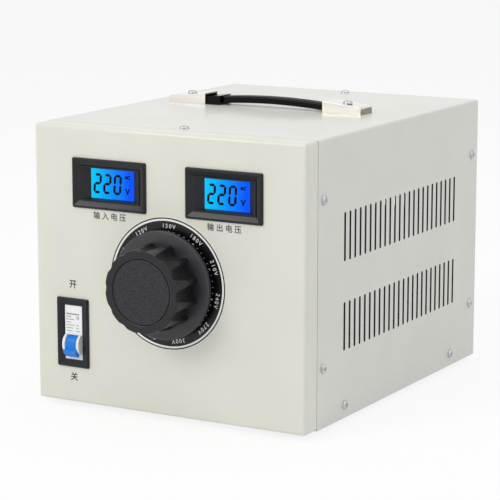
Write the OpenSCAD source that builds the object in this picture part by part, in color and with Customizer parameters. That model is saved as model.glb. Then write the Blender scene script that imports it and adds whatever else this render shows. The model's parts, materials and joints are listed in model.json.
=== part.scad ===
/* [Case] */
// Outside width of the case
case_w = 268; // [250:1:310]
// Depth from the front face to the rear face
case_d = 340; // [310:1:400]
// Height of the case without its feet
case_h = 245; // [240:1:290]
// Thickness of the steel sheet
sheet_t = 1.2; // [1:0.1:1.6]
// Depth of the front panel's folded flange
front_depth = 20; // [16:1:24]
// Outside radius of the front panel's folds
front_bend_r = 3.5; // [2:0.5:5]
// Outside radius of the cover's folds
cover_bend_r = 2.5; // [2:0.5:4]
// Open seam between the front panel and the cover
seam_gap = 0.6; // [0.3:0.1:1.2]
// Depth of the inner front frame behind the panel
frame_depth = 38; // [36:1:46]
// Depth of the rear panel's folded flange
rear_depth = 24; // [20:1:30]
// Height of the base tray's side flanges
base_flange_h = 22; // [18:1:30]
// Clearance between sheets that slide inside each other
sheet_fit = 0.1; // [0.05:0.05:0.3]

/* [Feet] */
// Height of a rubber foot
foot_h = 5; // [4:0.5:12]
// Radius of a rubber foot
foot_r = 9; // [7:0.5:14]
// Distance of a foot's centre from the case's sides
foot_inset = 28; // [20:1:40]

/* [Cover screws] */
// Shank radius of a cover screw
cover_screw_r = 2; // [1.5:0.1:2.2]
// Head radius of a cover screw
cover_head_r = 4.2; // [3.5:0.1:5]
// Head height of a cover screw
cover_head_h = 2.4; // [1.8:0.1:3]
// Depth of the front column of side screws behind the front face
side_screw_y = 30.5; // [28:0.5:33]
// Distance of the rear column of side screws from the rear face
side_screw_back = 12.5; // [9:0.5:18]
// Height of the lower side screws
side_screw_low = 51.8; // [45:0.1:58]
// Height of the upper side screws
side_screw_high = 194.5; // [185:0.5:200]
// Height of the screws into the base flange
base_screw_z = 11.5; // [9:0.5:14]
// Depth of the front screw into the base flange
base_screw_y = 70.8; // [60:0.1:80]
// Distance of the rear base screw from the rear face
base_screw_back = 54.8; // [48:0.1:60]

/* [Vents] */
// Number of slots in one row
vent_count = 24; // [12:1:26]
// Distance from slot to slot
vent_pitch = 9.56; // [9:0.02:10]
// Width of one slot
vent_w = 3.3; // [2:0.1:4]
// Length of one slot
vent_l = 42.2; // [30:0.1:46]
// Height of the lower row's centre
vent_low_z = 80.4; // [74:0.1:86]
// Height of the upper row's centre
vent_high_z = 157.8; // [150:0.1:164]
// Depth of the first slot behind the front face
vent_first_y = 69.1; // [58:0.1:74]
// Number of slots in the rear panel's row
rear_vent_count = 13; // [6:1:18]

/* [Handle] */
// Sideways place of the handle's middle
handle_x = -9; // [-12:0.1:12]
// Depth of the handle behind the front face
handle_y = 193; // [160:1:200]
// Distance between the two cap mouths
mouth_span = 122; // [110:1:140]
// Length of a handle cap
cap_l = 38.5; // [34:0.5:46]
// Width of a handle cap
cap_w = 22.5; // [20:0.5:28]
// Height of a cap at its mouth
cap_h = 10.2; // [9.6:0.1:13]
// Height of a cap at its closed end
cap_end_h = 6.8; // [6.4:0.1:8]
// Wall thickness of a cap
cap_t = 1.2; // [0.8:0.1:1.4]
// Distance of the cap's screw from its mouth
cap_screw_in = 20.1; // [18:0.1:22]
// Shank radius of a handle screw
handle_screw_r = 2.2; // [1.8:0.1:2.4]
// Travel of the strap's end in its cap
tongue_travel = 9; // [7:0.5:10]
// Length of shoulder that shows outside the cap
shoulder_out = 10.5; // [10.2:0.1:15]
// Width of the ribbed grip
grip_w = 12; // [10:0.5:15]
// Height of the ribbed grip
grip_h = 6.4; // [5:0.1:7.5]
// Rise of the grip's arch between its ends
grip_arch = 2.5; // [1.5:0.1:5]
// Width of the spring steel band
band_w = 8; // [6:0.5:9]
// Thickness of the spring steel band
band_t = 0.8; // [0.5:0.1:1.2]
// Radial clearance around every strap piece
strap_gap = 0.3; // [0.2:0.05:0.4]

/* [Meters] */
// Width of a meter's rim
meter_w = 74.5; // [72:0.5:84]
// Height of a meter's rim
meter_h = 43.5; // [42:0.5:48]
// Distance of each meter from the case's centre
meter_x = 56.8; // [46:0.1:62]
// Height of the meters' centre
meter_z = 196; // [190:0.5:205]
// Rise of a meter's rim above the panel
meter_rise = 2.5; // [1.5:0.1:4]
// Width of the window at its front
window_w = 58; // [54:0.5:60]
// Height of the window at its front
window_h = 32; // [30:0.5:34]
// Width of the lit screen
screen_w = 45; // [38:0.5:48]
// Height of the lit screen
screen_h = 26; // [20:0.5:27]
// Depth of the screen behind the panel's face
screen_depth = 5; // [3:0.5:8]
// Thickness of the screen's glass
screen_t = 2.8; // [2:0.1:4]
// Depth of a meter's housing behind the panel
meter_depth = 26; // [22:1:30]
// Wall thickness of a meter's housing
meter_wall = 1.6; // [1.2:0.1:2.2]

/* [Dial and knob] */
// Sideways place of the dial's centre
dial_x = 0.9; // [-5:0.1:5]
// Height of the dial's centre
dial_z = 116.2; // [112:0.1:124]
// Radius of the printed dial plate
dial_r = 57; // [52:0.5:60]
// Thickness of the dial plate
dial_t = 0.5; // [0.3:0.1:1]
// Turn of the pointer from the low end to the high end, in degrees
dial_turn = 330; // [300:1:335]
// Clockwise angle of the pointer from straight up at rest
rest_angle = -29; // [-120:1:120]
// Height of the knob's face above the panel
knob_front = 42; // [36:0.5:50]
// Radius of the knob at its face
knob_face_r = 35.8; // [31:0.1:37]
// Radius of the knob at its base
knob_base_r = 37.4; // [32:0.1:38.5]
// Number of finger flutes around the knob
flute_count = 12; // [8:1:16]
// Radius of a flute
flute_r = 9; // [6:0.5:14]
// Depth of a flute at the knob's face
flute_front = 1.3; // [0.6:0.1:2]
// Depth of a flute at the knob's base
flute_back = 3.4; // [2:0.1:4]
// Wall of the knob's hollow back
knob_wall = 3; // [2:0.1:3.5]
// Radius of the inlaid face disc
inlay_r = 28.3; // [24:0.1:30]
// Thickness of the inlaid face disc
inlay_t = 1.6; // [1:0.1:2.4]
// Open ring around the inlaid disc
inlay_gap = 0.35; // [0.2:0.05:0.6]
// Radius of the knob's skirt
skirt_r = 47; // [42:0.5:48]
// Thickness of the knob's skirt
skirt_t = 5; // [3:0.1:6]
// Gap between the dial plate and the skirt
skirt_gap = 6; // [2:0.1:7]
// Radius of the knob's set screw
set_screw_r = 2.5; // [2:0.1:3]

/* [Breaker] */
// Sideways distance of the breaker from the case's centre
breaker_x = 95.8; // [90:0.1:104]
// Height of the breaker's centre
breaker_z = 62.8; // [56:0.1:66]
// Width of the breaker's rim
rim_w = 32.5; // [30:0.5:38]
// Height of the breaker's rim
rim_h = 61.5; // [58:0.5:66]
// Width of the rim's window
rim_window_w = 18.8; // [18.5:0.1:20]
// Height of the rim's window
rim_window_h = 48.8; // [48.8:0.1:51]
// Width of the breaker's body
pole_w = 18; // [17:0.1:18]
// Height of the breaker's nose in the window
nose_h = 48.2; // [45:0.1:48.4]
// Height of the breaker's body
pole_h = 80; // [76:1:86]
// Depth of the breaker behind the panel's face
pole_depth = 62; // [56:1:66]
// Height of the toggle's axis below the breaker's centre
toggle_drop = 10.4; // [8:0.1:12]
// Width of the toggle
toggle_w = 11.2; // [10:0.1:12.4]
// Radius of the toggle's drum
toggle_r = 8.6; // [7:0.1:9.5]
// Reach of the toggle's lever from its axis
toggle_reach = 12.8; // [12:0.1:18]
// Thickness of the toggle's lever
lever_t = 4.6; // [3:0.1:6]
// Radius of the toggle's pin
toggle_pin_r = 1.5; // [1:0.1:2]
// Swing of the toggle from off to on, in degrees
toggle_turn = 84; // [70:1:90]
// Width of the mounting rail
rail_h = 35; // [35:1:35]
// Length of the mounting rail
rail_l = 40; // [36:1:46]

/* [Transformer] */
// Outer radius of the strip-wound core
core_r = 82.5; // [78:0.5:86]
// Bore radius of the core
core_bore_r = 42.5; // [40:0.5:46]
// Length of the core along its axis
core_l = 70; // [50:1:90]
// Thickness of the core's insulating wrap
wrap_t = 1; // [0.6:0.1:1.6]
// Thickness of the winding
winding_t = 2.4; // [1.6:0.1:3.2]
// Depth of the winding's front face behind the panel
winding_y = 86; // [84:1:100]
// Inner radius of the bared contact track
track_in_r = 61; // [58:0.5:64]
// Outer radius of the bared contact track
track_out_r = 77; // [74:0.5:80]
// Height of the bared contact track
track_t = 0.4; // [0.3:0.1:0.8]
// Radius of the front clamp plate
clamp_r = 52; // [50:0.5:56]
// Thickness of the clamp plate and the bracket
plate_t = 3; // [2.5:0.1:4]
// Thickness of the insulating washers
washer_t = 2; // [1.5:0.1:3]
// Circle radius of the core bolts
bolt_circle_r = 25; // [23:0.5:28]
// Radius of a core bolt
bolt_r = 3; // [2.5:0.1:4]
// Number of core bolts
bolt_count = 3; // [3:1:4]
// Width of the core's bracket
bracket_w = 120; // [110:1:140]
// Length of the bracket's foot
bracket_foot = 46; // [36:1:60]
// Radius of the steel shaft
shaft_r = 4; // [3:0.1:5]
// Radial running clearance of the shaft in its bushes
shaft_play = 0.05; // [0.02:0.01:0.08]
// Wall of a bush
bush_wall = 3.5; // [2.5:0.1:4.5]

/* [Brush] */
// Distance of the brush arm behind the panel
arm_y = 64; // [62:0.5:66]
// Thickness of the brush arm
arm_t = 5; // [4:0.1:6]
// Width of the brush arm
arm_w = 18; // [14:0.5:22]
// Radius of the carbon brush's path
brush_path_r = 69; // [67:0.1:71]
// Width of the carbon brush
brush_w = 7; // [6:0.1:8]
// Wall of the brush holder
holder_wall = 1.6; // [1.2:0.1:2.2]
// Radial clearance of the brush in its holder
brush_play = 0.08; // [0.04:0.01:0.1]
// Travel of the brush into its holder
brush_travel = 2; // [1:0.1:3]
// Gap between the brush and the track
contact_gap = 0.05; // [0.02:0.01:0.1]
// Radius of the stop post
stop_r = 4; // [3:0.1:5]

/* [Rear terminals] */
// Sideways distance of the terminals' middle from the case's centre
post_x = 62; // [50:1:80]
// Height of the terminals
post_z = 60; // [50:1:80]
// Distance between the two terminals
post_pitch = 38; // [30:1:50]
// Radius of a terminal's metal stud
post_stud_r = 3.4; // [3.2:0.1:4]
// Radius of the socket in a stud
socket_r = 2; // [2:0.01:2.05]
// Depth of the socket in a stud
socket_l = 16; // [12:1:20]
// Radius of a terminal's cap
post_cap_r = 7.6; // [6.5:0.1:9]
// Length of a terminal's cap
post_cap_l = 17; // [14:0.5:22]
// Travel of a cap as it unscrews
post_open = 3; // [2:0.1:4]
// Radius of the earth stud
earth_r = 3; // [2.5:0.1:4]
// Height of the earth stud above the terminals
earth_rise = 30; // [26:1:40]
// Sideways distance of the gland from the case's centre
gland_x = 78; // [60:1:90]
// Height of the gland
gland_z = 48; // [40:1:60]
// Radius of the cable hole in the gland
gland_bore_r = 4.6; // [3.5:0.1:6]
// Radius of the gland's thread
gland_r = 9.8; // [9:0.1:11]

/* [Wiring] */
// Radius of a mains wire
mains_wire_r = 1.7; // [1.2:0.1:2]
// Radius of a meter's wire
meter_wire_r = 0.9; // [0.6:0.1:1.2]

/* [Hidden] */
$fn = 64;

// Outline of the whole object and the place of its front face
post_flange_t = 3;
post_washer_t = 1.2;
rear_out = post_flange_t + post_washer_t + post_cap_l + 0.2;
gland_back = sheet_t + 8;
earth_free = 6.4;
earth_out = 16;
earth_root_r = earth_r - 0.5;
front_y = (knob_front - case_d - rear_out) / 2;

// Places inside the case
inner_w = case_w - 2 * (sheet_t + sheet_fit);
inner_top = case_h - sheet_t - sheet_fit;
inner_floor = sheet_t + sheet_fit;
cover_front = front_depth + seam_gap;

// Knob stations, counted back from the panel's face
skirt_back = -dial_t - skirt_gap;
skirt_front = skirt_back - skirt_t;
skirt_web = 2.4;
knob_base = skirt_front;
knob_l = knob_front + knob_base;
hub_r = shaft_r + 5;

// Transformer stations, counted back from the panel's face
winding_r = core_r + wrap_t + winding_t;
winding_bore_r = core_bore_r - wrap_t - winding_t;
winding_l = core_l + 2 * (wrap_t + winding_t);
winding_end = winding_y + winding_l;
clamp_y = winding_y - washer_t - plate_t;
bracket_y = winding_end + washer_t;
bush_r = shaft_r + shaft_play + bush_wall;
bush_flange_r = bush_r + 3;
bush_flange_t = 2;
bush_l = 12;
collar_t = 6;
collar_r = shaft_r + 4;
shaft_front = 6 - knob_front;
shaft_end = bracket_y + plate_t + bush_flange_t + collar_t + 4;
bolt_head_h = 4;
nut_h = 5;

// Brush stations
arm_back = arm_y + arm_t;
brush_tip = winding_y - track_t - contact_gap;
brush_l = 13;
holder_r = brush_w / 2 + brush_play + holder_wall;
holder_front = brush_tip - brush_l - brush_travel - 5;
holder_end = winding_y - track_t - 2.5;
stop_turn = (360 - dial_turn) / 2;
stop_path_r = (arm_w / 2 + stop_r + 0.15) / sin(stop_turn);

// Meter stations
meter_body_w = meter_w - 5;
meter_body_h = meter_h - 4;
cutout_gap = 0.4;

// Breaker stations
toggle_z = breaker_z - toggle_drop;
toggle_y = 4;
pole_front = 6;
toggle_gap = 0.4;

// Handle stations
cap_screw_x = mouth_span / 2 + cap_screw_in;
tongue_w = cap_w - 2 * cap_t - 2 * strap_gap;
tongue_l = cap_l - cap_t - strap_gap - tongue_travel + shoulder_out;
shoulder_h = cap_h - cap_t - 2 * strap_gap;
tail_h = cap_end_h - cap_t - 2 * strap_gap;
strap_left = -mouth_span / 2 + shoulder_out + strap_gap;
strap_right = mouth_span / 2 - shoulder_out + tongue_travel - strap_gap;
strap_l = strap_right - strap_left;
strap_mid = (strap_left + strap_right) / 2;
flex_l = tongue_travel + 2;
grip_bottom = 1;
band_in = 6;
band_z = grip_bottom + grip_h / 2;

module case_frame() translate([0, front_y, foot_h]) children();
module along_x() rotate([0, 90, 0]) children();
module along_y() rotate([-90, 0, 0]) children();
module both_sides() { children(); mirror([1, 0, 0]) children(); }
module at_dial(y) translate([dial_x, y, dial_z]) children();
module at_rest_angle() rotate([0, rest_angle, 0]) children();

// A box centred on x and z, from y0 to y1
module bar(w, h, y0, y1) translate([-w / 2, y0, -h / 2]) cube([w, y1 - y0, h]);

// Four-sided block that tapers from one rectangle to another along y
module taper(w0, h0, w1, h1, y0, y1) {
    corners = [[-1, -1], [1, -1], [1, 1], [-1, 1]];
    polyhedron(
        points = [
            for (c = corners) [c[0] * w0 / 2, y0, c[1] * h0 / 2],
            for (c = corners) [c[0] * w1 / 2, y1, c[1] * h1 / 2]],
        faces = [[3, 2, 1, 0], [4, 5, 6, 7], for (i = [0 : 3]) [i, (i + 1) % 4, (i + 1) % 4 + 4, i + 4]]);
}

module rounded_square(w, h, r) {
    square([w - 2 * r, h], center = true);
    square([w, h - 2 * r], center = true);
    for (x = [-1, 1], y = [-1, 1]) translate([x * (w / 2 - r), y * (h / 2 - r)]) circle(r);
}

// A rectangle with two round corners at its front edge
module front_rounded(w, d, r) {
    translate([-w / 2, r]) square([w, d - r]);
    translate([-w / 2 + r, 0]) square([w - 2 * r, d]);
    for (x = [-1, 1]) translate([x * (w / 2 - r), r]) circle(r);
}

// Folded tray body with its face at y = 0
module tray_block(w, h, d, r) {
    intersection() {
        translate([0, d, h / 2]) rotate([90, 0, 0]) linear_extrude(d) rounded_square(w, h, r);
        linear_extrude(h) front_rounded(w, d, r);
        translate([-w / 2, 0, h / 2]) rotate([0, 90, 0]) linear_extrude(w) front_rounded(h, d, r);
    }
}

// Upright slot through a sheet, cut along y
module slot_y(w, l, d) {
    bar(w, l - w, -d / 2, d / 2);
    for (z = [-1, 1]) translate([0, -d / 2, z * (l - w) / 2]) along_y() cylinder(r = w / 2, h = d, $fn = 24);
}

// Pan-head screw along +z, its head above z = 0
module pan_screw(r, head_r, head_h, l) {
    difference() {
        union() {
            translate([0, 0, -l]) cylinder(r = r, h = l + 0.1, $fn = 32);
            intersection() {
                cylinder(r = head_r, h = head_h, $fn = 48);
                translate([0, 0, head_h - head_r * 1.6]) sphere(head_r * 1.6, $fn = 64);
            }
        }
        for (a = [0, 90]) rotate([0, 0, a]) translate([-head_r / 2, -0.4, head_h * 0.4])
            cube([head_r, 0.8, head_h]);
    }
}

module hex_nut(r, hole_r, h) {
    difference() {
        cylinder(r = r, h = h, $fn = 6);
        translate([0, 0, -1]) cylinder(r = hole_r, h = h + 2, $fn = 32);
    }
}

// Places of the cover's side screws, as depth and height
function side_screw_places() = [
    for (y = [side_screw_y, case_d - side_screw_back], z = [side_screw_low, side_screw_high]) [y, z],
    for (y = [base_screw_y, case_d - base_screw_back]) [y, base_screw_z]];

module side_screw_holes(r) {
    for (p = side_screw_places()) translate([-case_w, p[0], p[1]]) along_x()
        cylinder(r = r, h = 2 * case_w, $fn = 32);
}

module top_screw_holes(r) {
    for (y = [side_screw_y, case_d - side_screw_back]) translate([0, y, case_h / 2])
        cylinder(r = r, h = case_h, $fn = 32);
}

module foot_places() {
    for (x = [-1, 1], y = [foot_inset, case_d - foot_inset])
        translate([x * (case_w / 2 - foot_inset), y, 0]) children();
}

module meter_places() for (x = [-1, 1]) translate([x * meter_x, 0, meter_z]) children();
module at_breaker(y) translate([-breaker_x, y, breaker_z]) children();

// ---- Case ----

module front_panel() {
    color("WhiteSmoke") case_frame() difference() {
        tray_block(case_w, case_h, front_depth, front_bend_r);
        translate([0, sheet_t, sheet_t])
            tray_block(case_w - 2 * sheet_t, case_h - 2 * sheet_t, case_d, front_bend_r - sheet_t);
        meter_places() bar(meter_body_w + cutout_gap, meter_body_h + cutout_gap, -1, sheet_t + 1);
        at_breaker(0) bar(rim_window_w + 4, rim_window_h + 4, -1, sheet_t + 1);
        at_dial(-1) along_y() cylinder(r = shaft_r + 2, h = sheet_t + 2);
    }
}

module front_frame() {
    color("Silver") case_frame() difference() {
        translate([0, frame_depth, case_h / 2]) rotate([90, 0, 0]) difference() {
            linear_extrude(frame_depth - front_bend_r - sheet_fit)
                rounded_square(inner_w, inner_top - inner_floor, front_bend_r);
            translate([0, 0, -1]) linear_extrude(frame_depth)
                rounded_square(inner_w - 2 * sheet_t, inner_top - inner_floor - 2 * sheet_t,
                    front_bend_r - sheet_t);
        }
        side_screw_holes(cover_screw_r);
        top_screw_holes(cover_screw_r);
        foot_places() translate([0, 0, -1]) cylinder(r = foot_r, h = 10);
    }
}

module cover() {
    vent_rows = [vent_low_z, vent_high_z];
    color("WhiteSmoke") case_frame() difference() {
        translate([0, cover_front, 0]) along_y() mirror([0, 1, 0])
            linear_extrude(case_d - cover_front) difference() {
                translate([0, case_h]) mirror([0, 1, 0]) front_rounded(case_w, case_h, cover_bend_r);
                translate([0, case_h - sheet_t]) mirror([0, 1, 0])
                    front_rounded(case_w - 2 * sheet_t, case_h, cover_bend_r - sheet_t);
            }
        for (z = vent_rows, i = [0 : vent_count - 1], s = [-1, 1])
            translate([s * case_w / 2, vent_first_y + i * vent_pitch, z]) rotate([0, 0, 90])
                slot_y(vent_w, vent_l, 4 * sheet_t);
        side_screw_holes(cover_screw_r + 0.3);
        top_screw_holes(cover_screw_r + 0.3);
        for (s = [-1, 1]) translate([handle_x + s * cap_screw_x, handle_y, case_h - 2 * sheet_t])
            cylinder(r = handle_screw_r, h = 3 * sheet_t, $fn = 32);
    }
}

module base_tray() {
    tray_l = case_d - cover_front;
    color("Gainsboro") case_frame() difference() {
        translate([0, cover_front, 0]) difference() {
            translate([-inner_w / 2, 0, 0]) cube([inner_w, tray_l, base_flange_h]);
            translate([-inner_w / 2 + sheet_t, -1, sheet_t])
                cube([inner_w - 2 * sheet_t, tray_l + 2, base_flange_h]);
            translate([-case_w / 2, -1, sheet_t])
                cube([case_w, frame_depth - cover_front + 2, base_flange_h]);
            translate([-case_w / 2, tray_l - rear_depth - 1, sheet_t])
                cube([case_w, rear_depth + 2, base_flange_h]);
        }
        side_screw_holes(cover_screw_r);
        foot_places() translate([0, 0, -1]) cylinder(r = cover_screw_r, h = 4, $fn = 32);
        bracket_screw_places() translate([0, 0, -1]) cylinder(r = bolt_r, h = 4, $fn = 32);
        rail_screw_places() translate([0, 0, -1]) cylinder(r = cover_screw_r, h = 4, $fn = 32);
    }
}

module rear_panel() {
    color("WhiteSmoke") case_frame() difference() {
        translate([0, case_d, inner_floor]) mirror([0, 1, 0]) difference() {
            tray_block(inner_w, inner_top - inner_floor, rear_depth, cover_bend_r);
            translate([0, sheet_t, sheet_t]) tray_block(inner_w - 2 * sheet_t,
                inner_top - inner_floor - 2 * sheet_t, case_d, cover_bend_r - sheet_t);
        }
        side_screw_holes(cover_screw_r);
        top_screw_holes(cover_screw_r);
        foot_places() translate([0, 0, -1]) cylinder(r = foot_r, h = 10);
        for (i = [0 : rear_vent_count - 1])
            translate([(i - (rear_vent_count - 1) / 2) * vent_pitch, case_d, vent_high_z])
                slot_y(vent_w, vent_l, 4 * sheet_t);
        post_places() translate([0, -2 * sheet_t, 0]) along_y()
            cylinder(r = post_stud_r + 2, h = 4 * sheet_t);
        at_earth(-2 * sheet_t) along_y() cylinder(r = earth_root_r, h = 4 * sheet_t);
        at_gland(-2 * sheet_t) along_y() cylinder(r = gland_r, h = 4 * sheet_t);
    }
}

module rubber_feet() {
    color("DimGray") case_frame() foot_places() difference() {
        translate([0, 0, -foot_h]) cylinder(r1 = foot_r - 1, r2 = foot_r, h = foot_h);
        translate([0, 0, -foot_h - 1]) cylinder(r = cover_head_r + 0.4, h = foot_h - 1);
        translate([0, 0, -foot_h]) cylinder(r = cover_screw_r, h = 2 * foot_h, $fn = 32);
    }
}

module base_screws() {
    color("Silver") case_frame() {
        foot_places() translate([0, 0, -2]) mirror([0, 0, 1])
            pan_screw(cover_screw_r, cover_head_r, foot_h - 3, 2 + sheet_t + 4);
        bracket_screw_places() translate([0, 0, sheet_t + plate_t])
            pan_screw(bolt_r, 1.9 * bolt_r, 3, plate_t + sheet_t + 3);
        rail_screw_places() translate([0, 0, sheet_t + 1.5])
            pan_screw(cover_screw_r, cover_head_r - 0.6, cover_head_h, 1.5 + sheet_t + 3);
    }
}

module cover_screws() {
    color("Silver") case_frame() {
        for (p = side_screw_places()) both_sides() translate([case_w / 2, p[0], p[1]]) along_x()
            pan_screw(cover_screw_r, cover_head_r, cover_head_h, 6);
        for (y = [side_screw_y, case_d - side_screw_back]) translate([0, y, case_h])
            pan_screw(cover_screw_r, cover_head_r, cover_head_h, 6);
    }
}

// ---- Carrying handle ----

module handle_frame() case_frame() translate([handle_x, handle_y, case_h]) children();

// Side profile of a cap: its mouth at x = 0, its closed end at x = l
module cap_profile(l, h0, h1) polygon([[0, 0], [l, 0], [l, h1 - 1.5], [l - 1.5, h1], [0, h0]]);

module handle_caps() {
    color("LightSteelBlue") handle_frame() both_sides() translate([mouth_span / 2, 0, 0]) difference() {
        translate([0, cap_w / 2, 0]) rotate([90, 0, 0]) linear_extrude(cap_w)
            cap_profile(cap_l, cap_h, cap_end_h);
        translate([-1, cap_w / 2 - cap_t, -1]) rotate([90, 0, 0]) linear_extrude(cap_w - 2 * cap_t)
            polygon([[0, 0], [cap_l + 1 - cap_t, 0], [cap_l + 1 - cap_t, cap_end_h - cap_t + 1],
                [0, cap_h - cap_t + 1]]);
        translate([cap_screw_in, 0, -1]) cylinder(r = handle_screw_r, h = cap_h + 2, $fn = 32);
    }
}

module handle_screws() {
    head_r = 2 * handle_screw_r;
    head_z = cap_h - (cap_h - cap_end_h) * (cap_screw_in - head_r) / cap_l;
    color("Silver") handle_frame() both_sides() translate([cap_screw_x, 0, head_z])
        pan_screw(handle_screw_r, head_r, 2, head_z + sheet_t + 6);
}

// A strap end: its shoulder's inner face at x = 0, its slotted tail towards +x
module tongue() {
    shoulder_l = shoulder_out + 3;
    slot_r = handle_screw_r + strap_gap;
    slot_in = shoulder_out + cap_screw_in;
    difference() {
        translate([0, tongue_w / 2, strap_gap]) rotate([90, 0, 0]) linear_extrude(tongue_w)
            polygon([[0, 0], [tongue_l, 0], [tongue_l, tail_h], [shoulder_l, tail_h],
                [shoulder_l, shoulder_h - 1.6], [0, shoulder_h]]);
        for (x = [slot_in - tongue_travel, slot_in]) translate([x, 0, -1])
            cylinder(r = slot_r, h = shoulder_h + 2, $fn = 32);
        translate([slot_in - tongue_travel, -slot_r, -1]) cube([tongue_travel, 2 * slot_r, shoulder_h + 2]);
        translate([-1, 0, band_z]) band_bar(band_w + strap_gap, band_t + strap_gap, band_in + 1);
    }
}

module band_bar(w, t, l) translate([0, -w / 2, -t / 2]) cube([l, w, t]);

module strap_anchor() {
    color("DarkSlateGray") handle_frame() mirror([1, 0, 0])
        translate([mouth_span / 2 - shoulder_out, 0, 0]) tongue();
}

module strap_slider() {
    color("DarkSlateGray") handle_frame()
        translate([mouth_span / 2 - shoulder_out + tongue_travel, 0, 0]) tongue();
}

// Shallow arch over the strap's length, between two stations, as a band of height t
module arch(from, to, w, t, z) {
    r = strap_l * strap_l / (8 * grip_arch) + grip_arch / 2;
    translate([strap_mid, 0, z]) rotate([90, 0, 0]) translate([0, 0, -w / 2]) linear_extrude(w)
        intersection() {
            translate([0, grip_arch - r]) difference() {
                circle(r + t, $fn = 720);
                circle(r, $fn = 720);
            }
            translate([from - strap_mid, -t]) square([to - from, grip_arch + 3 * t]);
        }
}

module strap_sleeve(from, to) {
    difference() {
        arch(from, to, grip_w, grip_h, grip_bottom);
        arch(from - 1, to + 1, band_w + strap_gap, band_t + strap_gap,
            grip_bottom + (grip_h - band_t - strap_gap) / 2);
    }
}

module strap_grip() {
    color("DimGray") handle_frame() strap_sleeve(strap_left + flex_l, strap_right - flex_l);
}

module strap_ends() {
    color("DimGray") handle_frame() {
        strap_sleeve(strap_left, strap_left + flex_l);
        strap_sleeve(strap_right - flex_l, strap_right);
    }
}

module strap_band() {
    color("Silver") handle_frame() {
        arch(strap_left - 0.1, strap_right + 0.1, band_w, band_t, grip_bottom + (grip_h - band_t) / 2);
        translate([strap_left - strap_gap - band_in + 0.5, 0, band_z]) band_bar(band_w, band_t, band_in);
        translate([strap_right + strap_gap - 0.5, 0, band_z]) band_bar(band_w, band_t, band_in);
    }
}

// ---- Meters ----

module meter_bezel(side) {
    ridge = 1.8;
    rim = 3;
    color("DarkSlateGray") case_frame() translate([side * meter_x, 0, meter_z]) difference() {
        union() {
            taper(meter_w - 2 * ridge, meter_h - 2 * ridge, meter_w, meter_h, -meter_rise, -1);
            bar(meter_w, meter_h, -1, 0);
            bar(meter_body_w, meter_body_h, 0, meter_depth);
        }
        taper(meter_w - 2 * rim, meter_h - 2 * rim, window_w, window_h, -meter_rise - 0.001, -1);
        taper(window_w, window_h, screen_w, screen_h, -1.001, screen_depth);
        bar(meter_body_w - 2 * meter_wall, meter_body_h - 2 * meter_wall, screen_depth, meter_depth + 1);
    }
}

module input_meter_bezel() meter_bezel(-1);
module output_meter_bezel() meter_bezel(1);

module meter_screen(side) {
    color("DeepSkyBlue") case_frame() translate([side * meter_x, 0, meter_z])
        bar(screen_w + 8, screen_h + 4, screen_depth, screen_depth + screen_t);
}

module input_meter_screen() meter_screen(-1);
module output_meter_screen() meter_screen(1);

module meter_boards() {
    board_y = screen_depth + screen_t + 3;
    color("SeaGreen") case_frame() meter_places() {
        bar(meter_body_w - 2 * meter_wall - 0.2, meter_body_h - 2 * meter_wall - 0.2, board_y, board_y + 1.6);
        for (x = [-22, 22]) translate([x, 0, 0]) bar(3, 12, screen_depth + screen_t, board_y);
        translate([14, 0, 4]) bar(16, 14, board_y + 1.6, meter_depth - 2);
        translate([-16, 0, -4]) bar(10, 16, board_y + 1.6, board_y + 7);
    }
}

module meter_clips() {
    clip_w = 10;
    color("Silver") case_frame() meter_places() for (s = [-1, 1])
        translate([s * (meter_body_w / 2 + 0.7), 0, 0]) {
            bar(1, clip_w, sheet_t + 0.1, sheet_t + 12);
            translate([s * 1.4, 0, 0]) bar(2, clip_w, sheet_t + 0.1, sheet_t + 1.2);
        }
}

// ---- Dial and knob ----

module dial_plate() {
    color("Black") case_frame() at_dial(-dial_t) along_y() difference() {
        cylinder(r = dial_r, h = dial_t, $fn = 96);
        translate([0, 0, -1]) cylinder(r = shaft_r + 2, h = dial_t + 2);
    }
}

module knob() {
    flute_tilt = atan((flute_back - flute_front) / knob_l);
    edge = 0.8;
    color("DimGray") case_frame() at_dial(0) at_rest_angle() difference() {
        translate([0, -knob_front, 0]) along_y() difference() {
            union() {
                cylinder(r1 = knob_face_r - edge, r2 = knob_face_r, h = edge, $fn = 96);
                translate([0, 0, edge])
                    cylinder(r1 = knob_face_r, r2 = knob_base_r, h = knob_l - edge, $fn = 96);
            }
            for (i = [0 : flute_count - 1]) rotate([0, 0, i * 360 / flute_count])
                translate([0, knob_face_r - flute_front + flute_r, 0]) rotate([flute_tilt, 0, 0])
                    translate([0, 0, -5]) cylinder(r = flute_r, h = knob_l + 10, $fn = 48);
            translate([0, 0, -1]) cylinder(r = inlay_r, h = inlay_t + 1.2, $fn = 96);
            difference() {
                translate([0, 0, inlay_t + 0.2 + knob_wall])
                    cylinder(r = knob_base_r - flute_back - knob_wall, h = knob_l, $fn = 96);
                cylinder(r = hub_r, h = knob_l);
            }
            translate([0, 0, inlay_t + 0.2 + knob_wall]) cylinder(r = shaft_r, h = knob_l);
        }
        translate([0, (knob_base - knob_front) / 2, 0]) rotate([180, 0, 0])
            cylinder(r = set_screw_r, h = knob_base_r + 5, $fn = 32);
    }
}

module knob_inlay() {
    color("DarkSlateGray") case_frame() at_dial(-knob_front) along_y()
        cylinder(r = inlay_r - inlay_gap, h = inlay_t, $fn = 96);
}

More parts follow.
